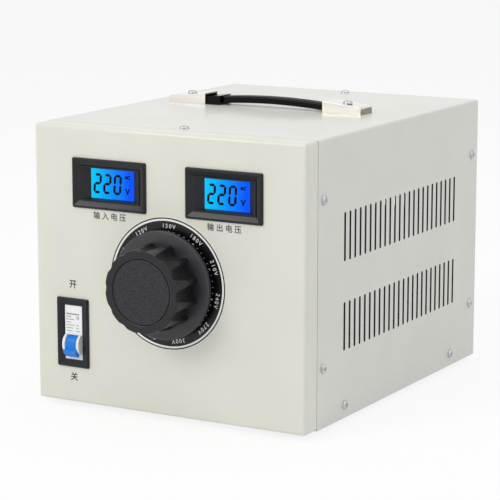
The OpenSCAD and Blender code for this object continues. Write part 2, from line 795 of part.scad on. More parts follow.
module knob_skirt() {
    color("DimGray") case_frame() at_dial(skirt_front) along_y() difference() {
        union() {
            cylinder(r1 = skirt_r - 0.6, r2 = skirt_r, h = 0.6, $fn = 128);
            translate([0, 0, 0.6]) cylinder(r = skirt_r, h = skirt_t - 0.6, $fn = 128);
            cylinder(r = hub_r, h = skirt_t + skirt_gap - 0.6);
        }
        translate([0, 0, skirt_web]) difference() {
            cylinder(r = skirt_r - 2, h = skirt_t, $fn = 128);
            translate([0, 0, -1]) cylinder(r = hub_r, h = skirt_t + 2);
        }
        translate([0, 0, -1]) cylinder(r = shaft_r, h = skirt_t + skirt_gap + 2);
    }
}

module knob_set_screw() {
    screw_l = 10;
    color("Silver") case_frame() at_dial((knob_base - knob_front) / 2) at_rest_angle() rotate([180, 0, 0])
        translate([0, 0, shaft_r]) difference() {
            cylinder(r = set_screw_r, h = screw_l, $fn = 32);
            translate([0, 0, screw_l - 2]) cylinder(r = set_screw_r / 2, h = 3, $fn = 6);
        }
}

// ---- Breaker ----

module breaker_frame() {
    rise = meter_rise;
    ridge = 1.8;
    color("DarkSlateGray") case_frame() at_breaker(0) difference() {
        union() {
            taper(rim_w - 2 * ridge, rim_h - 2 * ridge, rim_w, rim_h, -rise, -1);
            bar(rim_w, rim_h, -1, 0);
            bar(rim_window_w + 3.6, rim_window_h + 3.6, 0, pole_front - 0.5);
        }
        bar(rim_window_w, rim_window_h, -rise - 1, pole_front);
    }
}

module breaker_case() {
    slot_w = toggle_w + 2 * toggle_gap;
    cheek_t = (pole_w - slot_w) / 2 - 0.6;
    color("White") case_frame() difference() {
        union() {
            at_breaker(0) bar(pole_w, nose_h, 0, pole_front);
            at_breaker(0) bar(pole_w, pole_h, pole_front, pole_depth);
            for (s = [-1, 1]) translate([-breaker_x + s * (slot_w + cheek_t) / 2, toggle_y, toggle_z])
                along_x() cylinder(r = toggle_r + 1.4, h = cheek_t, center = true);
        }
        translate([-breaker_x, toggle_y, toggle_z]) along_x() {
            cylinder(r = toggle_r + toggle_gap, h = slot_w, center = true);
            cylinder(r = toggle_pin_r, h = pole_w - 1.2, center = true, $fn = 32);
        }
        for (s = [-1, 1]) at_breaker(0) {
            translate([0, 0, s * (pole_h / 2 - 9)]) bar(10, 11, pole_front + 8, pole_front + 26);
            translate([0, pole_front - 1, s * (pole_h / 2 - 9)]) along_y() cylinder(r = 3, h = 10, $fn = 32);
            translate([0, 0, s * pole_h / 2]) bar(7, 12, pole_front + 12, pole_front + 22);
            translate([0, pole_depth + 0.5, s * (rail_h / 2 - 2.6)]) bar(pole_w + 2, 7, -2.4, 1);
        }
    }
}

module breaker_toggle() {
    root_t = lever_t + 2;
    color("RoyalBlue") case_frame() translate([-breaker_x, toggle_y, toggle_z]) rotate([90, 0, 90])
        translate([0, 0, -toggle_w / 2]) linear_extrude(toggle_w) difference() {
            union() {
                circle(toggle_r);
                rotate(toggle_turn / 2) polygon([[0, -root_t / 2], [0, root_t / 2],
                    [-toggle_reach, lever_t / 2], [-toggle_reach, -lever_t / 2]]);
            }
            circle(toggle_pin_r + shaft_play, $fn = 32);
        }
}

module breaker_pin() {
    color("Silver") case_frame() translate([-breaker_x, toggle_y, toggle_z]) along_x()
        cylinder(r = toggle_pin_r, h = pole_w - 1.2, center = true, $fn = 32);
}

module breaker_clamps() {
    color("Goldenrod") case_frame() at_breaker(0) for (s = [-1, 1])
        translate([0, 0, s * (pole_h / 2 - 9)]) difference() {
            bar(9.6, 10.6, pole_front + 9, pole_front + 24);
            bar(6.4, 12, pole_front + 13, pole_front + 21);
            along_y() cylinder(r = 1.9, h = pole_front + 13, $fn = 32);
        }
}

module breaker_screws() {
    color("Silver") case_frame() at_breaker(0) for (s = [-1, 1])
        translate([0, pole_front + 3.2, s * (pole_h / 2 - 9)]) rotate([90, 0, 0])
            pan_screw(1.9, 2.9, 1.8, 11);
}

module mounting_rail() {
    y = pole_depth + 0.2;
    color("Silver") case_frame() at_breaker(0) {
        for (s = [-1, 1]) translate([0, 0, s * (rail_h / 2 - 2)]) bar(rail_l, 4, y - 1.6, y - 0.6);
        for (s = [-1, 1]) translate([0, 0, s * (rail_h / 2 - 4.5)]) bar(rail_l, 1, y - 1.6, y + 5.9);
        bar(rail_l, rail_h - 8, y + 4.9, y + 5.9);
    }
}

rail_back = pole_depth + 6.1;
module rail_screw_places() {
    for (x = [-1, 1]) translate([-breaker_x + x * 11, rail_back + 8, 0]) children();
}

module rail_bracket() {
    w = 34;
    top = breaker_z + rail_h / 2;
    color("Gainsboro") case_frame() difference() {
        translate([-breaker_x - w / 2, rail_back, sheet_t]) union() {
            cube([w, 1.5, top - sheet_t]);
            cube([w, 15, 1.5]);
            cube([1.5, 15, 30]);
        }
        rail_screw_places() cylinder(r = cover_screw_r, h = 6, $fn = 32);
    }
}

// ---- Transformer ----

// A hollow ring around the dial's axis
module ring(r1, r0, y0, y1) {
    at_dial(y0) along_y() difference() {
        cylinder(r = r1, h = y1 - y0, $fn = 128);
        translate([0, 0, -1]) cylinder(r = r0, h = y1 - y0 + 2, $fn = 128);
    }
}

// Closed jacket of wall t around a ring of radii r1 and r0
module jacket(r1, r0, y0, y1, t) {
    difference() {
        ring(r1 + t, r0 - t, y0 - t, y1 + t);
        ring(r1, r0, y0, y1);
    }
}

core_y = winding_y + winding_t + wrap_t;

module toroid_core() {
    color("SlateGray") case_frame() ring(core_r, core_bore_r, core_y, core_y + core_l);
}

module core_wrap() {
    color("Khaki") case_frame() jacket(core_r, core_bore_r, core_y, core_y + core_l, wrap_t);
}

module winding() {
    color("Chocolate") case_frame()
        jacket(core_r + wrap_t, core_bore_r - wrap_t, core_y - wrap_t, core_y + core_l + wrap_t, winding_t);
}

module contact_track() {
    color("Peru") case_frame() ring(track_out_r, track_in_r, winding_y - track_t, winding_y);
}

module insulating_washers() {
    color("Tan") case_frame() {
        ring(clamp_r, winding_bore_r, winding_y - washer_t, winding_y);
        ring(clamp_r, winding_bore_r, winding_end, winding_end + washer_t);
    }
}

module bolt_places(y) {
    at_dial(y) for (i = [0 : bolt_count - 1]) rotate([0, i * 360 / bolt_count, 0])
        translate([0, 0, bolt_circle_r]) children();
}

module clamp_plate() {
    color("Silver") case_frame() difference() {
        union() {
            ring(clamp_r, bush_r, clamp_y, clamp_y + plate_t);
            ring(bush_r + 4, bush_r, clamp_y, clamp_y + bush_l);
        }
        bolt_places(clamp_y - 1) along_y() cylinder(r = bolt_r, h = plate_t + 2, $fn = 32);
        at_dial(clamp_y - 1) translate([0, 0, -stop_path_r]) along_y()
            cylinder(r = stop_r / 2, h = plate_t + 2, $fn = 32);
    }
}

module bracket_screw_places() {
    for (x = [-1, 1], y = [14, bracket_foot - 10])
        translate([dial_x + x * (bracket_w / 2 - 14), bracket_y + y, 0]) children();
}

module core_bracket() {
    top = dial_z + clamp_r;
    color("Gainsboro") case_frame() difference() {
        union() {
            translate([dial_x - bracket_w / 2, bracket_y, sheet_t])
                cube([bracket_w, plate_t, top - sheet_t]);
            translate([dial_x - bracket_w / 2, bracket_y, sheet_t]) cube([bracket_w, bracket_foot, plate_t]);
            for (x = [0, bracket_w - plate_t]) translate([dial_x - bracket_w / 2 + x, bracket_y, sheet_t])
                rotate([90, 0, 90]) linear_extrude(plate_t) polygon([[0, 0], [bracket_foot, 0],
                    [bracket_foot, 10], [plate_t, dial_z - 20], [0, dial_z]]);
            ring(bush_r + 4, bush_r, bracket_y + plate_t - bush_l, bracket_y + plate_t);
        }
        at_dial(bracket_y - 1) along_y() cylinder(r = bush_r, h = plate_t + 2);
        bolt_places(bracket_y - 1) along_y() cylinder(r = bolt_r, h = plate_t + 2, $fn = 32);
        bracket_screw_places() cylinder(r = bolt_r, h = 3 * plate_t, $fn = 32);
    }
}

module core_bolts() {
    bolt_l = bracket_y + plate_t + nut_h + 3 - clamp_y;
    color("Silver") case_frame() {
        bolt_places(clamp_y) along_y() {
            translate([0, 0, -bolt_head_h]) cylinder(r = 1.8 * bolt_r, h = bolt_head_h, $fn = 6);
            cylinder(r = bolt_r, h = bolt_l, $fn = 32);
        }
        bolt_places(bracket_y + plate_t) along_y() hex_nut(1.8 * bolt_r, bolt_r, nut_h);
    }
}

module shaft_bushes() {
    color("Goldenrod") case_frame() {
        ring(bush_flange_r, shaft_r + shaft_play, clamp_y - bush_flange_t, clamp_y);
        ring(bush_r, shaft_r + shaft_play, clamp_y, clamp_y + bush_l);
        ring(bush_flange_r, shaft_r + shaft_play, bracket_y + plate_t, bracket_y + plate_t + bush_flange_t);
        ring(bush_r, shaft_r + shaft_play, bracket_y + plate_t - bush_l, bracket_y + plate_t);
    }
}

module shaft() {
    color("Silver") case_frame() at_dial(shaft_front) along_y()
        cylinder(r = shaft_r, h = shaft_end - shaft_front);
}

// ---- Brush gear ----

module shaft_collars() {
    gap = 0.3;
    color("Silver") case_frame() {
        ring(collar_r, shaft_r, arm_back, clamp_y - bush_flange_t - gap);
        ring(collar_r, shaft_r, bracket_y + plate_t + bush_flange_t + gap,
            bracket_y + plate_t + bush_flange_t + gap + collar_t);
    }
}

module brush_arm() {
    arm_l = brush_path_r + holder_r + 2;
    fin_count = 5;
    color("LightGray") case_frame() at_dial(0) at_rest_angle() difference() {
        union() {
            translate([-arm_w / 2, arm_y, -22]) cube([arm_w, arm_t, arm_l + 22]);
            translate([0, arm_y, 0]) along_y() cylinder(r = 20, h = arm_t);
            for (i = [0 : fin_count - 1]) translate([-arm_w / 2, arm_y - 6, 22 + i * 6])
                cube([arm_w, 6, 1.6]);
        }
        translate([0, arm_y - 1, 0]) along_y() cylinder(r = shaft_r, h = arm_t + 2);
        translate([0, 0, brush_path_r]) bar(2 * holder_r, 2 * holder_r, arm_y - 1, arm_back + 1);
    }
}

module brush_holder() {
    opening = brush_w + 2 * brush_play;
    color("Peru") case_frame() at_dial(0) at_rest_angle() translate([0, 0, brush_path_r]) difference() {
        bar(2 * holder_r, 2 * holder_r, holder_front, holder_end);
        bar(opening, opening, holder_front + 1.5, holder_end + 1);
    }
}

module carbon_brush() {
    color("Black") case_frame() at_dial(0) at_rest_angle() translate([0, 0, brush_path_r])
        bar(brush_w, brush_w, brush_tip - brush_l, brush_tip);
}

module brush_spring() {
    color("Gold") case_frame() at_dial(0) at_rest_angle() translate([0, holder_front + 1.5, brush_path_r])
        along_y() difference() {
            cylinder(r = 2.8, h = brush_tip - brush_l - holder_front - 1.5);
            translate([0, 0, -1]) cylinder(r = 2.2, h = 20);
        }
}

module stop_post() {
    color("Silver") case_frame() at_dial(0) translate([0, 0, -stop_path_r]) {
        translate([0, arm_y - 1, 0]) along_y() cylinder(r = stop_r, h = clamp_y - arm_y + 1);
        translate([0, clamp_y, 0]) along_y() cylinder(r = stop_r / 2, h = plate_t, $fn = 32);
    }
}

// ---- Rear terminals ----

module post_places() {
    for (s = [-1, 1]) translate([post_x + s * post_pitch / 2, case_d, post_z]) children();
}
module at_earth(y) translate([post_x, case_d + y, post_z + earth_rise]) children();
module at_gland(y) translate([-gland_x, case_d + y, gland_z]) children();

module cable_gland() {
    color("DimGray") case_frame() at_gland(0) along_y() difference() {
        union() {
            translate([0, 0, -gland_back]) cylinder(r = gland_r, h = gland_back);
            cylinder(r = gland_r + 4, h = 5, $fn = 6);
            translate([0, 0, 5]) cylinder(r = gland_r + 1, h = 3);
            translate([0, 0, 8]) cylinder(r1 = gland_r + 2, r2 = gland_r - 1, h = 12);
        }
        translate([0, 0, -20]) cylinder(r = gland_bore_r, h = 50);
    }
}

module post_studs() {
    color("Goldenrod") case_frame() {
        post_places() along_y() difference() {
            translate([0, 0, -18]) cylinder(r = post_stud_r, h = 18 + rear_out - 0.5);
            translate([0, 0, rear_out - 0.5 - socket_l]) cylinder(r = socket_r, h = socket_l + 1, $fn = 48);
        }
        at_earth(0) along_y() {
            translate([0, 0, -4 * earth_r]) cylinder(r = earth_root_r, h = 4 * earth_r + 7, $fn = 32);
            translate([0, 0, earth_free]) cylinder(r = earth_r, h = earth_out - earth_free, $fn = 32);
            translate([0, 0, -sheet_t - 4]) cylinder(r = 1.8 * earth_r, h = 4, $fn = 6);
        }
    }
}

module post_insulators() {
    color("Ivory") case_frame() post_places() along_y() {
        difference() {
            union() {
                cylinder(r = post_cap_r + 1.5, h = post_flange_t);
                translate([0, 0, -sheet_t]) cylinder(r = post_stud_r + 2, h = sheet_t);
            }
            translate([0, 0, -5]) cylinder(r = post_stud_r, h = 12);
        }
        translate([0, 0, -sheet_t - 2]) difference() {
            cylinder(r = post_cap_r + 1, h = 2);
            translate([0, 0, -1]) cylinder(r = post_stud_r, h = 4);
        }
    }
}

module rear_nuts() {
    color("Silver") case_frame() {
        at_gland(-sheet_t - 5) along_y() hex_nut(gland_r + 4, gland_r, 5);
        post_places() along_y() for (z = [-4, -9]) translate([0, 0, z - sheet_t - 2])
            hex_nut(1.8 * post_stud_r, post_stud_r, 4);
        at_earth(0) along_y() {
            difference() {
                cylinder(r = 2.2 * earth_r, h = 1);
                translate([0, 0, -1]) cylinder(r = earth_root_r, h = 3, $fn = 32);
            }
            translate([0, 0, 1]) hex_nut(1.8 * earth_r, earth_root_r, 5);
        }
    }
}

// ---- Wiring ----

wire_sides = 8;
wire_steps = 4;
wire_side = [1, 0.15, 0.1];

function unit(v) = v / norm(v);

// A point of the smooth curve through p, a share t of the way from p[i] to p[i + 1]
function on_curve(p, i, t) =
    let (n = len(p) - 1, a = p[max(i - 1, 0)], b = p[i], c = p[i + 1], d = p[min(i + 2, n)])
    b + t * (c - a) / 2 + t * t * (a - 2.5 * b + 2 * c - d / 2) + t * t * t * (1.5 * (b - c) + (d - a) / 2);

function curve(p) = [
    for (i = [0 : len(p) - 2], k = [0 : wire_steps - 1]) on_curve(p, i, k / wire_steps),
    p[len(p) - 1]];

function curve_ring(c, i, r) =
    let (n = len(c) - 1, along = unit(c[min(i + 1, n)] - c[max(i - 1, 0)]),
        u = unit(cross(along, wire_side)), v = cross(along, u))
    [for (k = [0 : wire_sides - 1]) let (a = k * 360 / wire_sides) c[i] + r * (cos(a) * u + sin(a) * v)];

// A round wire swept along a smooth curve through a list of points
module wire(points, r) {
    c = curve(points);
    m = len(c) - 1;
    polyhedron(
        points = [for (i = [0 : m]) each curve_ring(c, i, r)],
        faces = [
            [for (k = [0 : wire_sides - 1]) k],
            [for (k = [wire_sides - 1 : -1 : 0]) m * wire_sides + k],
            for (i = [0 : m - 1], k = [0 : wire_sides - 1]) let (a = i * wire_sides, b = (k + 1) % wire_sides)
                [a + k, a + wire_sides + k, a + wire_sides + b, a + b]]);
}

// A point beside the winding: degrees from straight down, distance off its side, depth behind the panel
function tap(turn, out, y) = let (r = winding_r + 0.45 + out)
    [dial_x + r * sin(turn), y, dial_z - r * cos(turn)];

module mains_wiring() {
    floor_z = sheet_t + mains_wire_r + 5;
    gland_in = [-gland_x, case_d - gland_back - 5, gland_z];
    clamp_y_in = pole_front + 13.4 + mains_wire_r;
    clamp_in = [-breaker_x, clamp_y_in, breaker_z - pole_h / 2 + 6];
    clamp_out = [-breaker_x, clamp_y_in, breaker_z + pole_h / 2 - 6];
    live_x = -breaker_x - 21;
    neutral_x = dial_x - bracket_w / 2 - 8;
    return_x = dial_x + bracket_w / 2 + 8;
    tap_y = winding_y + 36;
    post_in = case_d - 19;
    color("SaddleBrown") case_frame() {
        wire([gland_in, [live_x, case_d - 60, floor_z], [live_x, rail_back + 30, floor_z],
            [live_x, 40, floor_z], clamp_in + [-4, 2, -15], clamp_in - [0, 0, 8], clamp_in], mains_wire_r);
        wire([clamp_out, clamp_out + [0, 0, 8], clamp_out + [0, 0, 16], clamp_out + [-1, 12, 28],
            tap(-96, 12, winding_y + 12), tap(-93, 6, winding_y + 20), tap(-93, 0, winding_y + 20)],
            mains_wire_r);
        wire([gland_in + [5, 0, 0], [neutral_x, case_d - 70, floor_z + 6],
            [neutral_x, winding_y + 60, floor_z + 6], tap(-40, 14, tap_y + 6), tap(-40, 7, tap_y),
            tap(-40, 0, tap_y)], mains_wire_r);
        wire([[dial_x + bush_flange_r + 2, bracket_y + plate_t + 2, dial_z],
            [dial_x + bush_flange_r + 4, bracket_y + 50, dial_z - 10],
            [post_x - post_pitch / 2, post_in - 30, post_z + 10],
            [post_x - post_pitch / 2, post_in, post_z]], mains_wire_r);
        wire([tap(40, 0, tap_y), tap(40, 7, tap_y), tap(40, 16, tap_y + 8),
            [return_x, winding_y + 66, floor_z + 8], [return_x, case_d - 90, floor_z + 8],
            [post_x + post_pitch / 2, post_in - 25, post_z - 12],
            [post_x + post_pitch / 2, post_in, post_z]], mains_wire_r);
        wire([gland_in + [0, 0, 5], [-gland_x + 30, post_in - 12, post_z + 18],
            [post_x - 20, post_in - 14, post_z + earth_rise - 2],
            [post_x, case_d - 4 * earth_r - 0.5, post_z + earth_rise]], mains_wire_r);
    }
}

module meter_wiring() {
    leave_y = meter_depth - 2;
    loop_x = breaker_x + 18;
    pair = [0, 3];
    color("Gold") case_frame() {
        for (z = pair) wire([[-meter_x + 14, leave_y, meter_z + 4 - z],
            [-meter_x + 14, leave_y + 9, meter_z + 4 - z], [-meter_x, leave_y + 16, meter_z - 18 - z],
            [-loop_x + z, frame_depth + 8, breaker_z + pole_h],
            [-breaker_x - 6.5 + z, pole_front + 16, breaker_z + pole_h / 2]], meter_wire_r);
        for (z = pair) wire([[meter_x + 14, leave_y, meter_z + 4 - z],
            [meter_x + 14, leave_y + 9, meter_z + 4 - z],
            [loop_x, leave_y + 24, meter_z - 18 - z], [loop_x - z, winding_y + 30, dial_z],
            [loop_x - z, case_d - 90, post_z],
            [post_x + post_pitch / 2 + 4, case_d - 19, post_z + z]], meter_wire_r);
    }
}

module post_cap(side) {
    cap_back = post_flange_t + post_washer_t + 0.2;
    rib_count = 16;
    case_frame() translate([post_x + side * post_pitch / 2, case_d + cap_back, post_z]) along_y()
        difference() {
            union() {
                cylinder(r = post_cap_r - 0.6, h = post_cap_l - 1);
                translate([0, 0, post_cap_l - 1])
                    cylinder(r1 = post_cap_r - 0.6, r2 = post_cap_r - 1.6, h = 1);
                for (i = [0 : rib_count - 1]) rotate([0, 0, i * 360 / rib_count])
                    translate([post_cap_r - 1.2, -0.6, 1.5]) cube([1.2, 1.2, post_cap_l - 4]);
            }
            translate([0, 0, -1]) cylinder(r = post_stud_r + shaft_play, h = post_cap_l + 2);
        }
}

module red_post_cap() color("Firebrick") post_cap(-1);
module black_post_cap() color("DimGray") post_cap(1);

module post_washer(side) {
    color("Silver") case_frame()
        translate([post_x + side * post_pitch / 2, case_d + post_flange_t + 0.1, post_z]) along_y()
            difference() {
                cylinder(r = post_cap_r - 0.2, h = post_washer_t - 0.1);
                translate([0, 0, -1]) cylinder(r = post_stud_r + shaft_play, h = post_washer_t + 2);
            }
}

module red_post_washer() post_washer(-1);
module black_post_washer() post_washer(1);

front_panel();
front_frame();
cover();
base_tray();
rear_panel();
rubber_feet();
base_screws();
cover_screws();
handle_caps();
handle_screws();
strap_anchor();
strap_slider();
strap_band();
strap_grip();
strap_ends();
input_meter_bezel();
output_meter_bezel();
input_meter_screen();
output_meter_screen();
meter_boards();
meter_clips();
dial_plate();
knob();
knob_inlay();
knob_skirt();
knob_set_screw();
breaker_frame();
breaker_case();
breaker_toggle();
breaker_pin();
breaker_clamps();
breaker_screws();
mounting_rail();
rail_bracket();
toroid_core();
core_wrap();
winding();
contact_track();
insulating_washers();
core_bracket();
clamp_plate();
core_bolts();
shaft_bushes();
shaft();
shaft_collars();
brush_arm();
brush_holder();
carbon_brush();
brush_spring();
stop_post();
cable_gland();
post_studs();
post_insulators();
rear_nuts();
mains_wiring();
meter_wiring();
red_post_cap();
black_post_cap();
red_post_washer();
black_post_washer();
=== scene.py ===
import json
import math

import bmesh
import bpy
from mathutils import Matrix, Vector, noise


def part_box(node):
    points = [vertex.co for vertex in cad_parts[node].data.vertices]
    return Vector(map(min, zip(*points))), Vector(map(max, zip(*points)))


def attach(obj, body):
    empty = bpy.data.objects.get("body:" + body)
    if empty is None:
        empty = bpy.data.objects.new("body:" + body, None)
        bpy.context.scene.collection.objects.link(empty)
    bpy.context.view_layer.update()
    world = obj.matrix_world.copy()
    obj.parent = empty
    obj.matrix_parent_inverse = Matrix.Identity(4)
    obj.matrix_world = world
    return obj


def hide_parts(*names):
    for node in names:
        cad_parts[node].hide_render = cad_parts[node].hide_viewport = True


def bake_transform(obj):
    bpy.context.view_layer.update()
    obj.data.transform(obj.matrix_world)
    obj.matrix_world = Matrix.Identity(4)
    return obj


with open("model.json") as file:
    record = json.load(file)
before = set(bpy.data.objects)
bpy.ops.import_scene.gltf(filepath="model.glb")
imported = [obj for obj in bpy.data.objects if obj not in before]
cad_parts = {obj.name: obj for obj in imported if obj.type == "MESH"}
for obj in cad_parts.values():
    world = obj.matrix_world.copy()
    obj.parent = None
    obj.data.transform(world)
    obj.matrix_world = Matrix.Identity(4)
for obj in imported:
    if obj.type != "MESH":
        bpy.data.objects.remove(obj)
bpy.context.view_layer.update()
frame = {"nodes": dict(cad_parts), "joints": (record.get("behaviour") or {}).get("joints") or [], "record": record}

scene = bpy.context.scene
mm = 0.001


def box(node):
    low, high = (Vector(corner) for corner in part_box(node))
    return low, high, (low + high) / 2


panelFront = box("front_panel")[0].y
caseHigh = box("cover")[1]
dialMiddle = box("dial_plate")[2]


# Materials

def linear(code):
    channels = [int(code[i:i + 2], 16) / 255 for i in (1, 3, 5)]
    return [c / 12.92 if c <= 0.04045 else ((c + 0.055) / 1.055) ** 2.4 for c in channels] + [1.0]


def put(tree, kind, inputs=None, **settings):  # adds a node with its settings, values and links
    node = tree.nodes.new(kind)
    for key, value in settings.items():
        setattr(node, key, value)
    for key, value in (inputs or {}).items():
        if isinstance(value, bpy.types.NodeSocket):
            tree.links.new(value, node.inputs[key])
        else:
            node.inputs[key].default_value = value
    return node


def startMaterial(name, **shaderValues):
    material = bpy.data.materials.new(name)
    material.use_nodes = True
    tree = material.node_tree
    tree.nodes.clear()
    shader = put(tree, "ShaderNodeBsdfPrincipled", {k.replace("_", " "): v for k, v in shaderValues.items()})
    put(tree, "ShaderNodeOutputMaterial", {"Surface": shader.outputs[0]})
    place = put(tree, "ShaderNodeTexCoord").outputs["Object"]
    return material, tree, shader, place


def maths(tree, operation, *values):
    return put(tree, "ShaderNodeMath", dict(enumerate(values)), operation=operation).outputs[0]


def finishWith(tree, shader, colour, rough, normal):
    for socket, value in (("Base Color", colour), ("Roughness", rough), ("Normal", normal)):
        tree.links.new(value, shader.inputs[socket])


def mottle(tree, place, dark, light, grain, spread=0.35):  # colour that drifts between two close tones
    patch = put(tree, "ShaderNodeTexNoise", {"Vector": place, "Scale": 1 / (grain * mm), "Detail": 3.0})
    ramp = put(tree, "ShaderNodeValToRGB", {"Fac": patch.outputs["Fac"]})
    first, last = ramp.color_ramp.elements
    first.position, last.position = 0.5 - spread / 2, 0.5 + spread / 2
    first.color, last.color = linear(dark), linear(light)
    return ramp.outputs["Color"]


def relief(tree, height, depth):  # depth in millimetres
    bump = put(tree, "ShaderNodeBump", {"Height": height, "Strength": 1.0, "Distance": depth * mm})
    return bump.outputs["Normal"]


def sheen(tree, source, low, high):  # roughness that follows a pattern
    return put(tree, "ShaderNodeMapRange", {"Value": source, "From Min": 0.3, "From Max": 0.7,
                                            "To Min": low, "To Max": high}).outputs["Result"]


def moulded(name, dark, light, rough, grain=1.2, depth=0.02, **shaderValues):
    # Plastics and rubber off a spark-eroded mould: even tone, fine pitted skin
    material, tree, shader, place = startMaterial(name, **shaderValues)
    pits = put(tree, "ShaderNodeTexNoise", {"Vector": place, "Scale": 1 / (grain * mm), "Detail": 4.0})
    finishWith(tree, shader, mottle(tree, place, dark, light, grain * 14),
               sheen(tree, pits.outputs["Fac"], rough - 0.05, rough + 0.05),
               relief(tree, pits.outputs["Fac"], depth))
    return material


def metalPlate(name, dark, light, rough, grain=6.0, stretch=(1, 1, 1), depth=0.006, **shaderValues):
    # Plated, ground or rolled metal: tone and gloss drift along the direction it was worked in
    material, tree, shader, place = startMaterial(name, Metallic=1.0, **shaderValues)
    turned = put(tree, "ShaderNodeMapping", {"Vector": place, "Scale": stretch}).outputs["Vector"]
    streak = put(tree, "ShaderNodeTexNoise", {"Vector": turned, "Scale": 1 / (grain * mm), "Detail": 5.0})
    finishWith(tree, shader, mottle(tree, turned, dark, light, grain),
               sheen(tree, streak.outputs["Fac"], rough * 0.75, rough * 1.3),
               relief(tree, streak.outputs["Fac"], depth))
    return material


def powderCoat(name, dark, light):
    # Powder-coated steel, sprayed and baked: satin gloss over a fine orange peel,
    # drawn 2 mm wide because the real 0.5 mm one is too fine to show
    material, tree, shader, place = startMaterial(name, IOR=1.5, Coat_Weight=0.25, Coat_Roughness=0.12)
    peel = put(tree, "ShaderNodeTexNoise", {"Vector": place, "Scale": 1 / (2 * mm), "Detail": 2.0})
    fleck = put(tree, "ShaderNodeTexVoronoi", {"Vector": place, "Scale": 1 / (0.9 * mm)})
    height = maths(tree, "MULTIPLY_ADD", fleck.outputs["Distance"], 0.35, peel.outputs["Fac"])
    finishWith(tree, shader, mottle(tree, place, dark, light, 60, 0.5),
               sheen(tree, peel.outputs["Fac"], 0.33, 0.41), relief(tree, height, 0.018))
    return material


def leatherGrain(name, dark, light):
    # Phenolic disc pressed with a leather grain: cells 1.6 mm across with creases between them, drawn darker in
    # the creases as painted shade
    material, tree, shader, place = startMaterial(name, IOR=1.5, Specular_IOR_Level=0.4)
    warp = put(tree, "ShaderNodeTexNoise", {"Vector": place, "Scale": 1 / (3 * mm), "Detail": 2.0})
    bent = put(tree, "ShaderNodeVectorMath", {0: warp.outputs["Color"], 1: (0.0016,) * 3, 2: place},
               operation="MULTIPLY_ADD")
    cells = put(tree, "ShaderNodeTexVoronoi", {"Vector": bent.outputs[0], "Scale": 1 / (1.6 * mm)},
                feature="DISTANCE_TO_EDGE")
    creaseAndShade = put(tree, "ShaderNodeMapRange",
                 {"Value": cells.outputs["Distance"], "From Min": 0.0, "From Max": 0.28},
                 interpolation_type="SMOOTHSTEP").outputs["Result"]
    # darker in the creases: painted shade
    tone = put(tree, "ShaderNodeMix", {0: creaseAndShade, 6: linear(dark), 7: linear(light)}, data_type="RGBA")
    gloss = put(tree, "ShaderNodeMapRange", {"Value": creaseAndShade, "To Min": 0.62, "To Max": 0.42})
    finishWith(tree, shader, tone.outputs[2], gloss.outputs[0], relief(tree, creaseAndShade, 0.16))
    return material


def litScreen(name, middleX, width, leftColour, rightColour):
    # Backlit liquid crystal behind glass: the lamp sits at the left, so cyan falls off to blue
    material, tree, shader, place = startMaterial(name, Roughness=0.12, IOR=1.5, Specular_IOR_Level=0.06,
                                                  Emission_Strength=1.0)
    axis = put(tree, "ShaderNodeSeparateXYZ", {"Vector": place})
    across = put(tree, "ShaderNodeMapRange", {"Value": axis.outputs["X"], "From Min": middleX - width / 2,
                                              "From Max": middleX + width / 2}).outputs["Result"]
    cloud = put(tree, "ShaderNodeTexNoise", {"Vector": place, "Scale": 1 / (7 * mm), "Detail": 1.0})
    drift = maths(tree, "MULTIPLY_ADD", cloud.outputs["Fac"], 0.12, across)
    glow = put(tree, "ShaderNodeValToRGB", {"Fac": drift})
    stops = glow.color_ramp.elements
    stops[0].position, stops[1].position = 0.06, 0.95
    stops[0].color, stops[1].color = linear(leftColour), linear(rightColour)
    middle = stops.new(0.5)
    middle.color = linear("#0096FF")
    shader.inputs["Base Color"].default_value = linear("#02060C")
    tree.links.new(glow.outputs["Color"], shader.inputs["Emission Color"])
    return material


def ink(name, colour, rough=0.5, **shaderValues):
    # Screen-printed enamel: dense and slightly matt, a trace uneven where the squeegee lifted
    return moulded(name, colour, colour, rough, grain=0.8, depth=0.004, **shaderValues)


def stripWound(name):
    # Silicon steel strip wound into a ring: hundreds of fine turns show as concentric lines, 2 mm apart here
    material, tree, shader, place = startMaterial(name, Metallic=1.0)
    centred = put(tree, "ShaderNodeMapping", {"Vector": place, "Location": (-dialMiddle.x, 0, -dialMiddle.z),
                                              "Scale": (1, 0, 1)}).outputs["Vector"]
    turns = put(tree, "ShaderNodeTexWave", {"Vector": centred, "Scale": 1 / (12.6 * mm), "Distortion": 0.6},
                wave_type="RINGS", rings_direction="SPHERICAL")
    tone = put(tree, "ShaderNodeMix", {0: turns.outputs["Fac"], 6: linear("#55575C"), 7: linear("#86898F")},
               data_type="RGBA")
    tree.links.new(tone.outputs[2], shader.inputs["Base Color"])
    shader.inputs["Roughness"].default_value = 0.42
    tree.links.new(relief(tree, turns.outputs["Fac"], 0.05), shader.inputs["Normal"])
    return material


